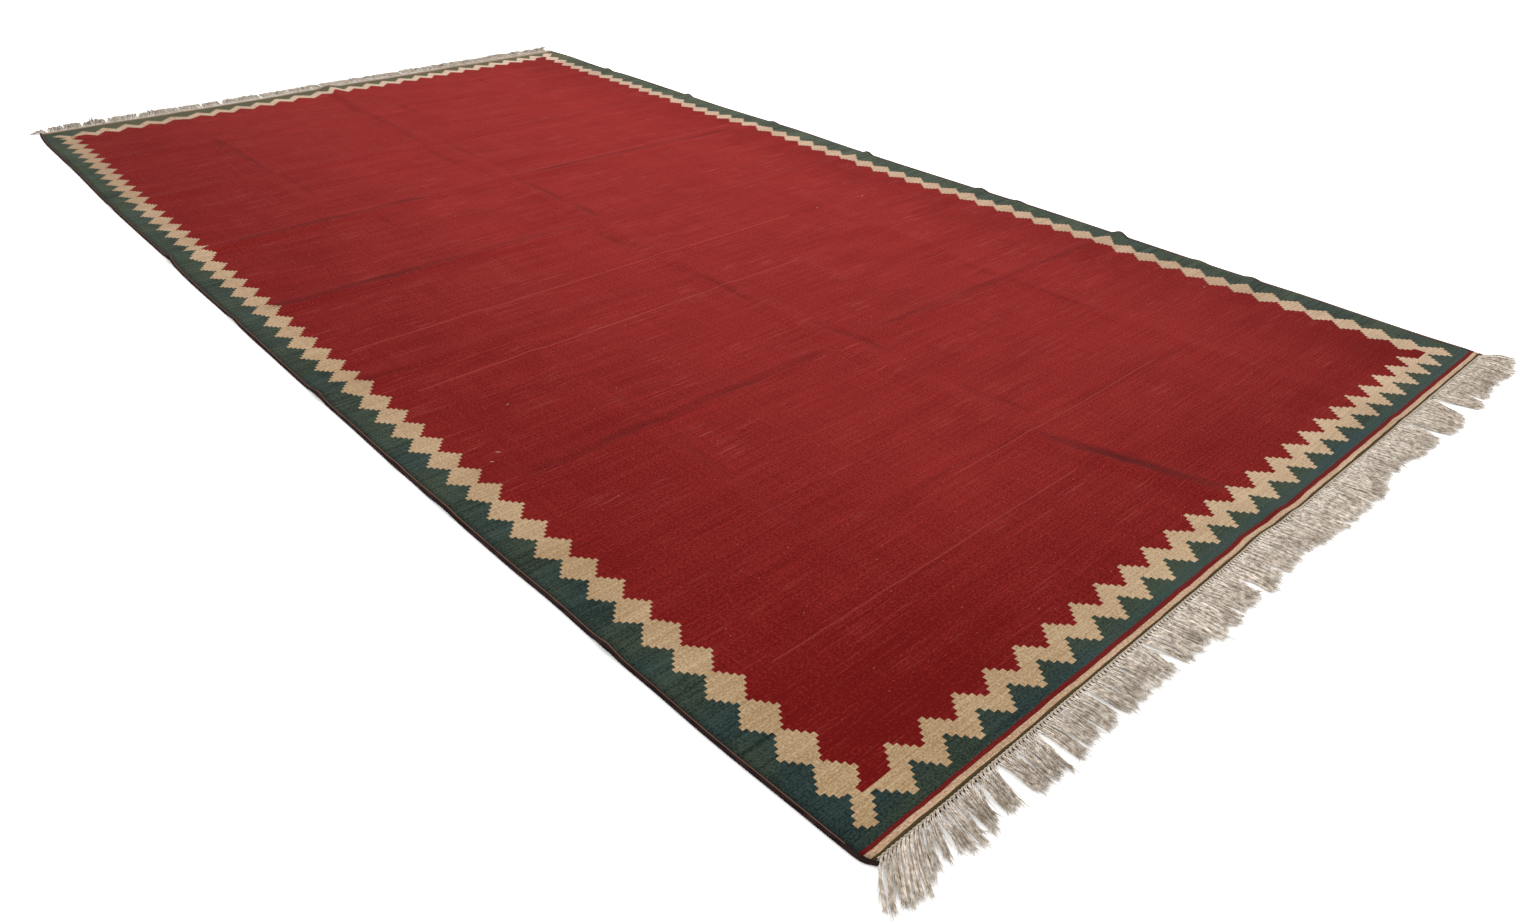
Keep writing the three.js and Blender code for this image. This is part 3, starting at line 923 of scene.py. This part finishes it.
def finished(tree, geometry, material, output):
    """The last nodes of every tree: real faces, smooth, with their material."""
    for kind in ("GeometryNodeRealizeInstances", "GeometryNodeSetShadeSmooth"):
        geometry = add_node(tree, kind, dict(Geometry=geometry)).outputs["Geometry"]
    painted = add_node(tree, "GeometryNodeSetMaterial", dict(Geometry=geometry, Material=material))
    feed(output.inputs["Geometry"], painted.outputs["Geometry"])


def path_mesh(name, points, edges, numbers):
    """Bare points and edges, each point with some named numbers, for a tree to build on."""
    mesh = bpy.data.meshes.new(name)
    mesh.from_pydata([tuple(point) for point in points], edges, [])
    for label, values in numbers.items():
        layer = mesh.attributes.new(label, "FLOAT", "POINT")
        layer.data.foreach_set("value", np.asarray(values, np.float32))
    return mesh


def grown(name, mesh, tree, settings):
    """The plain mesh that a tree makes of a path, as a new object at the origin."""
    draft = add_object(name + "_draft", mesh)
    modifier = draft.modifiers.new("grow", "NODES")
    modifier.node_group = tree
    for socket in tree.interface.items_tree:
        if socket.in_out == "INPUT" and socket.name in settings:
            modifier[socket.identifier] = settings[socket.name]
    depsgraph = bpy.context.evaluated_depsgraph_get()
    depsgraph.update()
    made = bpy.data.meshes.new_from_object(
        draft.evaluated_get(depsgraph), preserve_all_data_layers=True, depsgraph=depsgraph
    )
    draft.modifiers.remove(modifier)
    bpy.data.objects.remove(draft)
    made.name = name
    return add_object(name, made)


def named(tree, label):
    """A number that the path's points carry."""
    kept = add_node(tree, "GeometryNodeInputNamedAttribute", dict(Name=label), data_type="FLOAT")
    return Measure(kept.outputs["Attribute"])


def overcast_tree():
    """A long cylinder of faces, laid along the path's points and ridged by a helix of wrapping."""
    kinds = dict(Steps="Int", Sides="Int", Turns="Float", Width="Float", Height="Float", Groove="Float")
    tree, given, output = new_tree("overcast_cord", dict(**kinds, Yarn="Material"))
    sizes = {label: Measure(given.outputs[label]) for label in kinds}
    shape = {"Vertices": sizes["Sides"], "Side Segments": sizes["Steps"], "Radius": 1.0, "Depth": 1.0}
    bar = add_node(tree, "GeometryNodeMeshCylinder", shape)
    position = tree.nodes.new("GeometryNodeInputPosition").outputs["Position"]
    inward, upward, onward = parts(position)
    share = onward + 0.5
    ring = (share * sizes["Steps"] + 0.5).floor()

    def on_path(value, kind):
        """What the path says at this ring of the cord."""
        inputs = dict(Geometry=given.outputs["Geometry"], Value=value, Index=ring)
        return add_node(tree, "GeometryNodeSampleIndex", inputs, data_type=kind).outputs["Value"]

    thick = Measure(on_path(named(tree, "thick"), "FLOAT"))
    turn = upward.worked("ARCTAN2", inward) / (2 * math.pi)
    ridge = ((share * sizes["Turns"] + turn) * math.pi).worked("SINE").size()
    fullness = thick * (1 - sizes["Groove"] * (1 - ridge))
    aside = inward * sizes["Width"] * fullness / 2
    above = (upward * fullness + thick) * sizes["Height"] / 2
    offset = add_node(tree, "ShaderNodeCombineXYZ", dict(X=aside, Z=above)).outputs["Vector"]
    place = add_node(tree, "ShaderNodeVectorMath", {0: on_path(position, "FLOAT_VECTOR"), 1: offset})
    wrap = dict(Geometry=bar.outputs["Mesh"], Name="wrap", Value=position)
    kept = add_node(tree, "GeometryNodeStoreNamedAttribute", wrap, data_type="FLOAT_VECTOR")
    laid = dict(Geometry=kept.outputs["Geometry"], Position=place.outputs["Vector"])
    moved = add_node(tree, "GeometryNodeSetPosition", laid)
    finished(tree, moved.outputs["Geometry"], given.outputs["Yarn"], output)
    return tree


def object_place(tree):
    """The measures of a place in the piece's own coordinates, which are the room's."""
    return parts(tree.nodes.new("ShaderNodeTexCoord").outputs["Object"])


def selvedge_wool():
    """Dark brown wool, nearly black in places, with a rust brown line of painted highlight on top where the
    cord meets the cloth.
    """
    finish, shader = new_finish("selvedge_wool", roughness=1.0, sheen=0.01)
    tree = finish.node_tree
    rightward, upward, onward = parts(carried(tree, "wrap", "Vector").socket)
    on_right = object_place(tree)[0] > 0.0
    inward = on_right.chosen(rightward * -1, rightward)
    along = (onward + 0.5) * LENGTH
    tone = uneven(inward * 0.004, along, 0.004, 0.03, 2.0, 3.0)
    colour = dyed(tone.spread(0.35, 0.65), CORD_BLACK, CORD_BROWN)
    # A rust brown line on top of the cord, next to the cloth: painted highlight.
    wander = (uneven(inward * 0, along, 1.0, 0.05, 4.0) - 0.5) * 0.25
    line = (inward + wander - RUST_AT).size() < RUST_HALF_WIDTH
    broken = uneven(inward * 0, along, 1.0, 0.03, 7.0) > 0.3
    painted_highlight_line = line.both(upward > 0.0).both(broken).both(along > KNOT_END)
    colour = dyed(painted_highlight_line * 0.8, colour, RUST_HIGHLIGHT)
    at_corner = on_right.both(along > CORNER_PEACH_FROM).both(along < CORNER_RED_TO)
    stripes = dyed(along > PEACH_STRIPE, PEACH, STRIPE_RED)
    feed(shader.inputs["Base Color"], dyed(at_corner.both(inward < 0.8), colour, stripes))
    return finish


def overcast_side(name, side, node, tree, yarn):
    turns = round(LENGTH / WRAP_PITCH)
    steps = turns * WRAP_STEPS
    along = np.linspace(0, LENGTH, steps + 1)
    edge = EDGE if side == "left" else WIDTH - EDGE
    outer = left_side(along) + CORD_WIDTH / 2 if side == "left" else right_side(along) - CORD_WIDTH / 2
    height = lift(along, edge + 0 * along)
    thick = 1 + 0 * along
    for place in SWOLLEN:
        if place["side"] == side:
            off = np.clip((along - place["along"]) / place["reach"], -1, 1)
            thick = thick + place["more"] * (0.5 + 0.5 * np.cos(np.pi * off))
    points = np.stack([outer, along_to_y(along, edge + 0 * along), height], 1)
    path = path_mesh(name + "_path", points, [], dict(thick=thick))
    settings = dict(Steps=steps, Sides=CORD_SIDES, Turns=float(turns), Width=CORD_WIDTH)
    settings.update(Height=CORD_HEIGHT, Groove=WRAP_DEPTH, Yarn=yarn)
    cord = grown(name, path, tree, settings)
    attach(cord, "root")
    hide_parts(node)
    return cord


overcast = overcast_tree()
cord_wool = selvedge_wool()
left_cord = overcast_side("left_overcast_cord", "left", "selvedge_left", overcast, cord_wool)
right_cord = overcast_side("right_overcast_cord", "right", "selvedge_right", overcast, cord_wool)

# The headings and the fringe
# At each end a pale two-strand twining locks the last weft, and the warps run out from under it in pairs,
# over a thin dark strip of painted shade. They are plied cotton that clings together in ragged locks and
# frays at its tips.
PAIRS = 256
STRANDS = 2 * PAIRS
STRAND_WIDTH = 0.0038
STRAND_FLATNESS = 0.7
STRAND_POINTS = 12
STRAND_STEPS = 30
STRAND_SIDES = 5
PLY_TURNS = 70.0  # in a metre
STRAND_START = 0.0034  # inside the end of the rug
PAIR_GAP = 0.0022  # between the middles of a pair's two strands, where they come out
ROOT_SLANT = 0.0012  # how far to the right of its place a strand comes out
APART_BY = 0.14  # the share of a strand's length over which a pair's two strands draw apart
CLUMP_STRANDS = (4, 9)  # the fewest and the most that stick together
STRAY_SHARE = 0.2
STRAY_REACH = 0.010
LAYERS = (0.0, 0.4, 0.8, 1.2)  # how strands lie over each other, in steps of LAYER_STEP
STRAY_LAYER = 1.5
LAYER_STEP = 0.0020
CURL_REACH = 0.012  # to either side of a curl's middle
FRAYS = 4  # loose yarn ends at each strand's tip, and as many along it
FRAY_WIDTH = 0.0011
FRAY_TAPER = (1.3, 1.1, 0.9, 0.7, 0.4)  # of that width, from its root to its end
TWINE_STEPS = 6  # from one pair to the next
TWINE_WIDTH = 0.0024
TWINE_RADIUS = 0.0010  # of the path of each of its two yarns
TWINE_INSET = 0.0048  # of the twining's middle, from the end of the rug
TWINE_HEIGHT = 0.0026
# Neighbouring strands cling together in locks. A row is one lock: its roots run from the last row's root_to
# to its own, its tips lie from tip_from to tip_to, and its length goes from long_from to long_to.
NEAR_LOCKS = table(
    "root_to tip_from tip_to long_from long_to",
    (0.028, -0.050, -0.027, 0.044, 0.056),
    (0.055, -0.021, -0.003, 0.054, 0.060),
    (0.078, 0.001, 0.020, 0.060, 0.066),
    (0.098, 0.030, 0.056, 0.060, 0.040),
    (0.110, 0.068, 0.076, 0.050, 0.048),
    (0.146, 0.089, 0.130, 0.060, 0.062),
    (0.188, 0.136, 0.160, 0.060, 0.054),
    (0.228, 0.180, 0.204, 0.056, 0.060),
    (0.313, 0.226, 0.292, 0.062, 0.068),
    (0.338, 0.315, 0.337, 0.069, 0.066),
    (0.380, 0.340, 0.376, 0.066, 0.055),
    (0.427, 0.386, 0.421, 0.063, 0.053),
    (0.473, 0.432, 0.470, 0.062, 0.065),
    (0.494, 0.473, 0.489, 0.069, 0.058),
    (0.546, 0.497, 0.543, 0.067, 0.059),
    (0.575, 0.545, 0.566, 0.065, 0.061),
    (0.662, 0.585, 0.660, 0.064, 0.070),
    (0.745, 0.663, 0.742, 0.074, 0.070),
    (0.825, 0.748, 0.816, 0.067, 0.070),
    (0.896, 0.831, 0.890, 0.075, 0.062),
    (1.000, 0.901, 0.998, 0.070, 0.066),
    (1.110, 1.001, 1.108, 0.067, 0.076),
    (1.207, 1.110, 1.203, 0.074, 0.071),
    (1.288, 1.209, 1.286, 0.076, 0.068),
    (1.345, 1.288, 1.336, 0.066, 0.052),
    (1.448, 1.338, 1.456, 0.056, 0.070),
    (1.548, 1.466, 1.531, 0.070, 0.070),
    (1.620, 1.551, 1.610, 0.074, 0.078),
    (1.697, 1.612, 1.658, 0.076, 0.070),
    (1.770, 1.713, 1.751, 0.077, 0.072),
    (1.840, 1.774, 1.823, 0.070, 0.066),
    (1.950, 1.832, 1.932, 0.058, 0.073),
    (WIDTH, 1.936, 2.034, 0.080, 0.050),
)
FAR_LOCKS = table(
    "root_to tip_from tip_to long_from long_to",
    (0.024, -0.055, -0.012, 0.012, 0.040),
    (0.128, 0.020, 0.118, 0.058, 0.068),
    (0.206, 0.132, 0.194, 0.060, 0.064),
    (0.300, 0.210, 0.304, 0.070, 0.066),
    (0.402, 0.318, 0.398, 0.064, 0.070),
    (0.520, 0.406, 0.510, 0.068, 0.062),
    (0.586, 0.522, 0.582, 0.060, 0.066),
    (0.730, 0.598, 0.732, 0.066, 0.070),
    (0.842, 0.742, 0.834, 0.070, 0.064),
    (0.968, 0.848, 0.960, 0.064, 0.070),
    (1.040, 0.976, 1.044, 0.070, 0.066),
    (1.190, 1.054, 1.180, 0.066, 0.062),
    (1.308, 1.190, 1.302, 0.062, 0.070),
    (1.396, 1.314, 1.398, 0.070, 0.066),
    (1.530, 1.410, 1.520, 0.066, 0.068),
    (1.644, 1.530, 1.640, 0.068, 0.064),
    (1.770, 1.654, 1.760, 0.062, 0.068),
    (1.880, 1.772, 1.878, 0.070, 0.064),
    (WIDTH, 1.890, 2.014, 0.064, 0.070),
)
# Where strands of the far end stand up in a curl, and how high.
CURLS = table(
    "across high",
    (0.070, 0.0105),
    (0.165, 0.012),
    (0.282, 0.0095),
    (0.340, 0.012),
    (0.640, 0.009),
    (0.800, 0.010),
    (1.310, 0.008),
    (1.985, 0.0105),
)
MOST_HEIGHT = 0.0225  # of any loose yarn
CLEAN_COTTON = dye(243, 231, 217)
LIT_COTTON = dye(266, 254, 240)
SOILED_COTTON = dye(176, 158, 137)
TRODDEN_COTTON = dye(150, 130, 109)
FRAYED_COTTON = dye(244, 238, 229)
SHADED_COTTON = dye(120, 104, 88)
TWINE_PALE = dye(204, 190, 174)
SHADE_STRIP_BROWN = dye(92, 72, 60)
SHADE_STRIP_BLACK = dye(48, 36, 30)


def plied_tree():
    """Sweeps a flattened section along each path, turning as it goes, so that it reads as two plies."""
    kinds = dict(Steps="Int", Sides="Int", Turns="Float", Width="Float", Flatness="Float")
    tree, given, output = new_tree("plied_strands", dict(**kinds, Yarn="Material"))
    sizes = {label: Measure(given.outputs[label]) for label in kinds}
    curve = add_node(tree, "GeometryNodeMeshToCurve", dict(Mesh=given.outputs["Geometry"]))
    points = dict(Curve=curve.outputs["Curve"], Count=sizes["Steps"])
    even = add_node(tree, "GeometryNodeResampleCurve", points)
    radius = named(tree, "thick") * sizes["Width"] / 2
    thickened = dict(Curve=even.outputs["Curve"], Radius=radius)
    thickness = add_node(tree, "GeometryNodeSetCurveRadius", thickened)
    turns = named(tree, "run") * sizes["Turns"] + named(tree, "chance")
    turned = dict(Curve=thickness.outputs["Curve"], Tilt=turns * (2 * math.pi))
    twist = add_node(tree, "GeometryNodeSetCurveTilt", turned)
    circle = dict(Radius=1.0, Resolution=sizes["Sides"])
    section = add_node(tree, "GeometryNodeCurvePrimitiveCircle", circle)
    size = add_node(tree, "ShaderNodeCombineXYZ", dict(X=1.0, Y=sizes["Flatness"], Z=1.0))
    pressed = dict(Geometry=section.outputs["Curve"], Scale=size.outputs["Vector"])
    flat = add_node(tree, "GeometryNodeTransform", pressed)
    sweep = {"Curve": twist.outputs["Curve"], "Profile Curve": flat.outputs["Geometry"], "Fill Caps": True}
    swept = add_node(tree, "GeometryNodeCurveToMesh", sweep)
    feed(swept.inputs["Scale"], tree.nodes.new("GeometryNodeInputRadius").outputs["Radius"])
    finished(tree, swept.outputs["Mesh"], given.outputs["Yarn"], output)
    return tree


def warp_cotton():
    """Grey-beige cotton, each strand a little different, trodden in patches, paler where frayed, with
    painted light over the middle of each fringe and painted shade over the far one.
    """
    finish, shader = new_finish("warp_cotton", roughness=1.0, sheen=0.05)
    tree = finish.node_tree
    x, y = object_place(tree)[:2]
    out, chance = (carried(tree, label, "Fac") for label in ("out", "chance"))
    soil_and_painted_light = uneven(x, y, 0.006, 0.009, 1.0, 2.0).spread(0.36, 0.66) * 0.7 + chance * 0.45
    # Paler towards the middle of each fringe: painted light.
    painted_fringe_light = x.spread(-0.85, -0.35) * (1 - x.spread(0.2, 0.9) * 0.55)
    soil_and_painted_light = (soil_and_painted_light - painted_fringe_light * 0.12).least(1.0)
    colour = dyed(soil_and_painted_light, dyed(painted_fringe_light, CLEAN_COTTON, LIT_COTTON), SOILED_COTTON)
    trodden = uneven(x, y, 0.03, 0.03, 2.0).spread(0.5, 0.68).both(out.spread(0.25, 0.7))
    colour = dyed(trodden * 0.5, colour, TRODDEN_COTTON)
    colour = dyed(out.spread(0.92, 1.12) * 0.7, colour, FRAYED_COTTON)
    colour = dyed((y > 0.0) * 0.28, colour, SHADED_COTTON)
    feed(shader.inputs["Base Color"], colour)
    return finish


class Paths:
    """Points, edges and the numbers of each point, gathered before they become one mesh."""

    def __init__(self):
        self.points = []
        self.edges = []
        self.numbers = dict(thick=[], run=[], chance=[], out=[])

    def add(self, points, thick, out, chance):
        start = len(self.points)
        run = 0.0
        for k, point in enumerate(points):
            if k:
                run += (point - points[k - 1]).length
                self.edges.append((start + k - 1, start + k))
            self.points.append(point)
            self.numbers["thick"].append(thick[k])
            self.numbers["run"].append(run)
            self.numbers["out"].append(out[k])
            self.numbers["chance"].append(chance)

    def mesh(self, name):
        return path_mesh(name, self.points, self.edges, self.numbers)


def between(start, end, share):
    return start + (end - start) * share


def fringe_paths(locks, out, seed, tuft, curls):
    """The strands of one end, and their frayed yarn. out is -1 at the near end and 1 at the far end."""
    chance = random.Random(seed)
    end = 0.0 if out < 0 else LENGTH
    pitch = (WIDTH - 2 * EDGE) / STRANDS
    strands = Paths()
    frays = Paths()
    row = 0
    root_from = 0.0
    clump_left = 0
    for k in range(STRANDS):
        place = EDGE + (k + 0.5) * pitch
        pair = EDGE + (k // 2 * 2 + 1) * pitch
        root = pair + (k % 2 - 0.5) * PAIR_GAP
        while place > locks[row]["root_to"]:
            root_from = locks[row]["root_to"]
            row += 1
            clump_left = 0
        lock = locks[row]
        if clump_left == 0:
            clump_left = chance.randint(*CLUMP_STRANDS)
            clump_size = clump_left
            clump_shift = chance.uniform(-0.0014, 0.0014)
            clump_long = chance.uniform(-0.007, 0.003)
            clump_rise = chance.uniform(0.15, 1) ** 1.5
        in_clump = (clump_left - 0.5) - clump_size / 2
        clump_left -= 1
        share = (place - root_from) / (lock["root_to"] - root_from)
        tip = between(lock["tip_from"], lock["tip_to"], share)
        tip += clump_shift + in_clump * pitch * 0.06
        stray = chance.random() < STRAY_SHARE
        if stray:
            tip += chance.uniform(-STRAY_REACH, STRAY_REACH)
        tip += chance.uniform(-0.002, 0.002)
        long = between(lock["long_from"], lock["long_to"], share)
        long += clump_long + chance.uniform(-0.005, 0.003)
        rise = tuft * clump_rise * chance.uniform(0.5, 1.0)
        for curl in curls:
            if abs(place - curl["across"]) < CURL_REACH and chance.random() < 0.6:
                rise = curl["high"]
                long *= chance.uniform(0.55, 0.9)
        root_x = float(across_to_x(end, root))
        spread_x = float(across_to_x(end, place))
        root_z = float(lift(np.array(end), np.array(root)))
        root_y = float(along_to_y(end, np.array(root))) - out * STRAND_START
        layer = STRAY_LAYER if stray else chance.choice(LAYERS)
        sway = chance.uniform(-0.0022, 0.0022)
        sway_waves = chance.uniform(0.5, 1.6)
        personal = chance.random()
        points = []
        outs = []
        thick = []
        for j in range(STRAND_POINTS + 1):
            s = j / STRAND_POINTS
            apart = min(1, s / APART_BY)
            x = between(root_x, spread_x, apart * apart) + ROOT_SLANT * (1 - apart)
            x += (LEFT_CORNER + tip - spread_x) * s**0.85
            x += sway * math.sin(math.pi * 2 * sway_waves * s) * min(1, 3 * s)
            y = root_y + out * (long + STRAND_START) * s
            down = 1 - min(1, s / 0.3)
            z = STRAND_WIDTH * 0.6 + (root_z + 0.0010) * down
            z += layer * LAYER_STEP * math.sin(math.pi * min(1, s * 1.1))
            z += rise * math.sin(math.pi * min(1, s * 1.05)) ** 1.5
            points.append(Vector((x, y, z)))
            outs.append(s)
            thick.append(0.78 + 0.37 * min(1, s / 0.5) - 0.3 * max(0, s - 0.85) / 0.15)
        strands.add(points, thick, outs, personal)
        for number in range(2 * FRAYS):
            at_tip = number < FRAYS
            start = STRAND_POINTS - 1 if at_tip else chance.randint(2, STRAND_POINTS - 3)
            heading = (points[start + 1] - points[start - 1]).normalized()
            long = chance.uniform(0.008, 0.016) if at_tip else chance.uniform(0.018, 0.040)
            turn = chance.uniform(-0.35, 0.35) if at_tip else chance.uniform(-0.12, 0.12)
            bend = chance.uniform(-0.9, 0.9) if at_tip else chance.uniform(-0.25, 0.25)
            at = points[start].copy()
            at.x += chance.uniform(-0.0018, 0.0018)
            at.z += chance.uniform(0.0004, 0.0026)
            loose = [at.copy()]
            for step in range(1, 5):
                way = Matrix.Rotation(turn + bend * step / 4, 3, "Z") @ heading
                at = at + way * long / 4
                sunk = at.z + chance.uniform(-0.0006, 0.0005)
                at.z = min(max(FRAY_WIDTH * 0.7, sunk), MOST_HEIGHT)
                loose.append(at.copy())
            outs = [start / STRAND_POINTS + 0.04 * step for step in range(5)]
            frays.add(loose, FRAY_TAPER, outs, chance.random())
    return strands, frays


def twine_paths(out, seed):
    """The two yarns of the pale twining, which cross between one warp pair and the next."""
    chance = random.Random(seed)
    end = 0.0 if out < 0 else LENGTH
    pitch = (WIDTH - 2 * EDGE) / PAIRS
    paths = Paths()
    for start in (0.0, math.pi):
        points = []
        for k in range(PAIRS * TWINE_STEPS + 1):
            across = np.array(EDGE + k * pitch / TWINE_STEPS)
            turn = start + math.pi * k / TWINE_STEPS
            x = float(across_to_x(end, across))
            y = float(along_to_y(end, across)) - out * (TWINE_INSET + TWINE_RADIUS * math.cos(turn))
            z = float(lift(np.array(end), across)) + TWINE_HEIGHT + TWINE_RADIUS * math.sin(turn)
            points.append(Vector((x, y, z)))
        paths.add(points, [1.0] * len(points), [0.3] * len(points), chance.random())
    return paths


def painted_shade_strip(name, out):
    """A thin dark strip under the strands' roots, that shows between them: painted shade in the gaps there.
    """
    end = 0.0 if out < 0 else LENGTH
    across = np.linspace(EDGE, WIDTH - EDGE, PAIRS + 1)
    x = across_to_x(end + 0 * across, across)
    z = lift(end + 0 * across, across)
    inner, outer, thick = 0.0055, 0.0004, 0.0014
    rings = []
    for inset, height in ((inner, 0), (outer, 0), (outer, thick), (inner, thick)):
        y = along_to_y(end + 0 * across, across) - out * inset
        rings.append(np.stack([x, y, z + height], 1))
    k = np.arange(4 * len(x)).reshape(4, len(x))
    faces = grid_faces(np.vstack([k, k[:1]]))[:, [0, 3, 2, 1]].tolist()
    faces += [k[[0, 3, 2, 1], 0].tolist(), k[:, -1].tolist()]
    if out > 0:
        faces = [face[::-1] for face in faces]
    mesh = bpy.data.meshes.new(name)
    mesh.from_pydata(np.concatenate(rings).tolist(), [], faces)
    return add_object(name, mesh)


def twine(name, sheen, wide, long, dark, pale):
    """Yarn that is darker and paler by turns: the pale twining, and the dark strip of painted shade."""
    finish, shader = new_finish(name, roughness=0.9, sheen=sheen)
    x, y = object_place(finish.node_tree)[:2]
    feed(shader.inputs["Base Color"], dyed(uneven(x, y, wide, long, 1.0, 2.0), dark, pale))
    return finish


plied = plied_tree()
cotton = warp_cotton()
pale_twine = twine("pale_twine", sheen=0.15, wide=0.02, long=0.004, dark=SOILED_COTTON, pale=TWINE_PALE)
shade_strip_finish = twine("shade_strip_finish", sheen=0.1, wide=0.004, long=0.002, dark=SHADE_STRIP_BLACK, pale=SHADE_STRIP_BROWN)


def knot_end(end_name, locks, out, node, seed, tuft, curls):
    strands, frays = fringe_paths(locks, out, seed, tuft, curls)
    settings = dict(Steps=STRAND_STEPS, Sides=STRAND_SIDES, Turns=PLY_TURNS, Width=STRAND_WIDTH)
    settings.update(Flatness=STRAND_FLATNESS, Yarn=cotton)
    fringe = grown(end_name + "_strands", strands.mesh("strands"), plied, settings)
    settings.update(Steps=5, Sides=3, Turns=0.0, Width=FRAY_WIDTH, Flatness=1.0)
    loose = grown(end_name + "_frayed_tips", frays.mesh("frays"), plied, settings)
    settings.update(Steps=PAIRS * TWINE_STEPS + 1, Sides=5, Width=TWINE_WIDTH, Yarn=pale_twine)
    twining = grown(end_name + "_twining", twine_paths(out, seed + 1).mesh("twine"), plied, settings)
    strip = painted_shade_strip(end_name + "_painted_shade_strip", out)
    strip.data.materials.append(shade_strip_finish)
    pieces = [fringe, loose, twining, strip]
    for piece in pieces:
        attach(piece, "root")
    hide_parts(node)
    return pieces


near_pieces = knot_end("near", NEAR_LOCKS, -1, "fringe_near", seed=11, tuft=0.002, curls=[])
far_pieces = knot_end("far", FAR_LOCKS, 1, "fringe_far", seed=23, tuft=0.009, curls=CURLS)
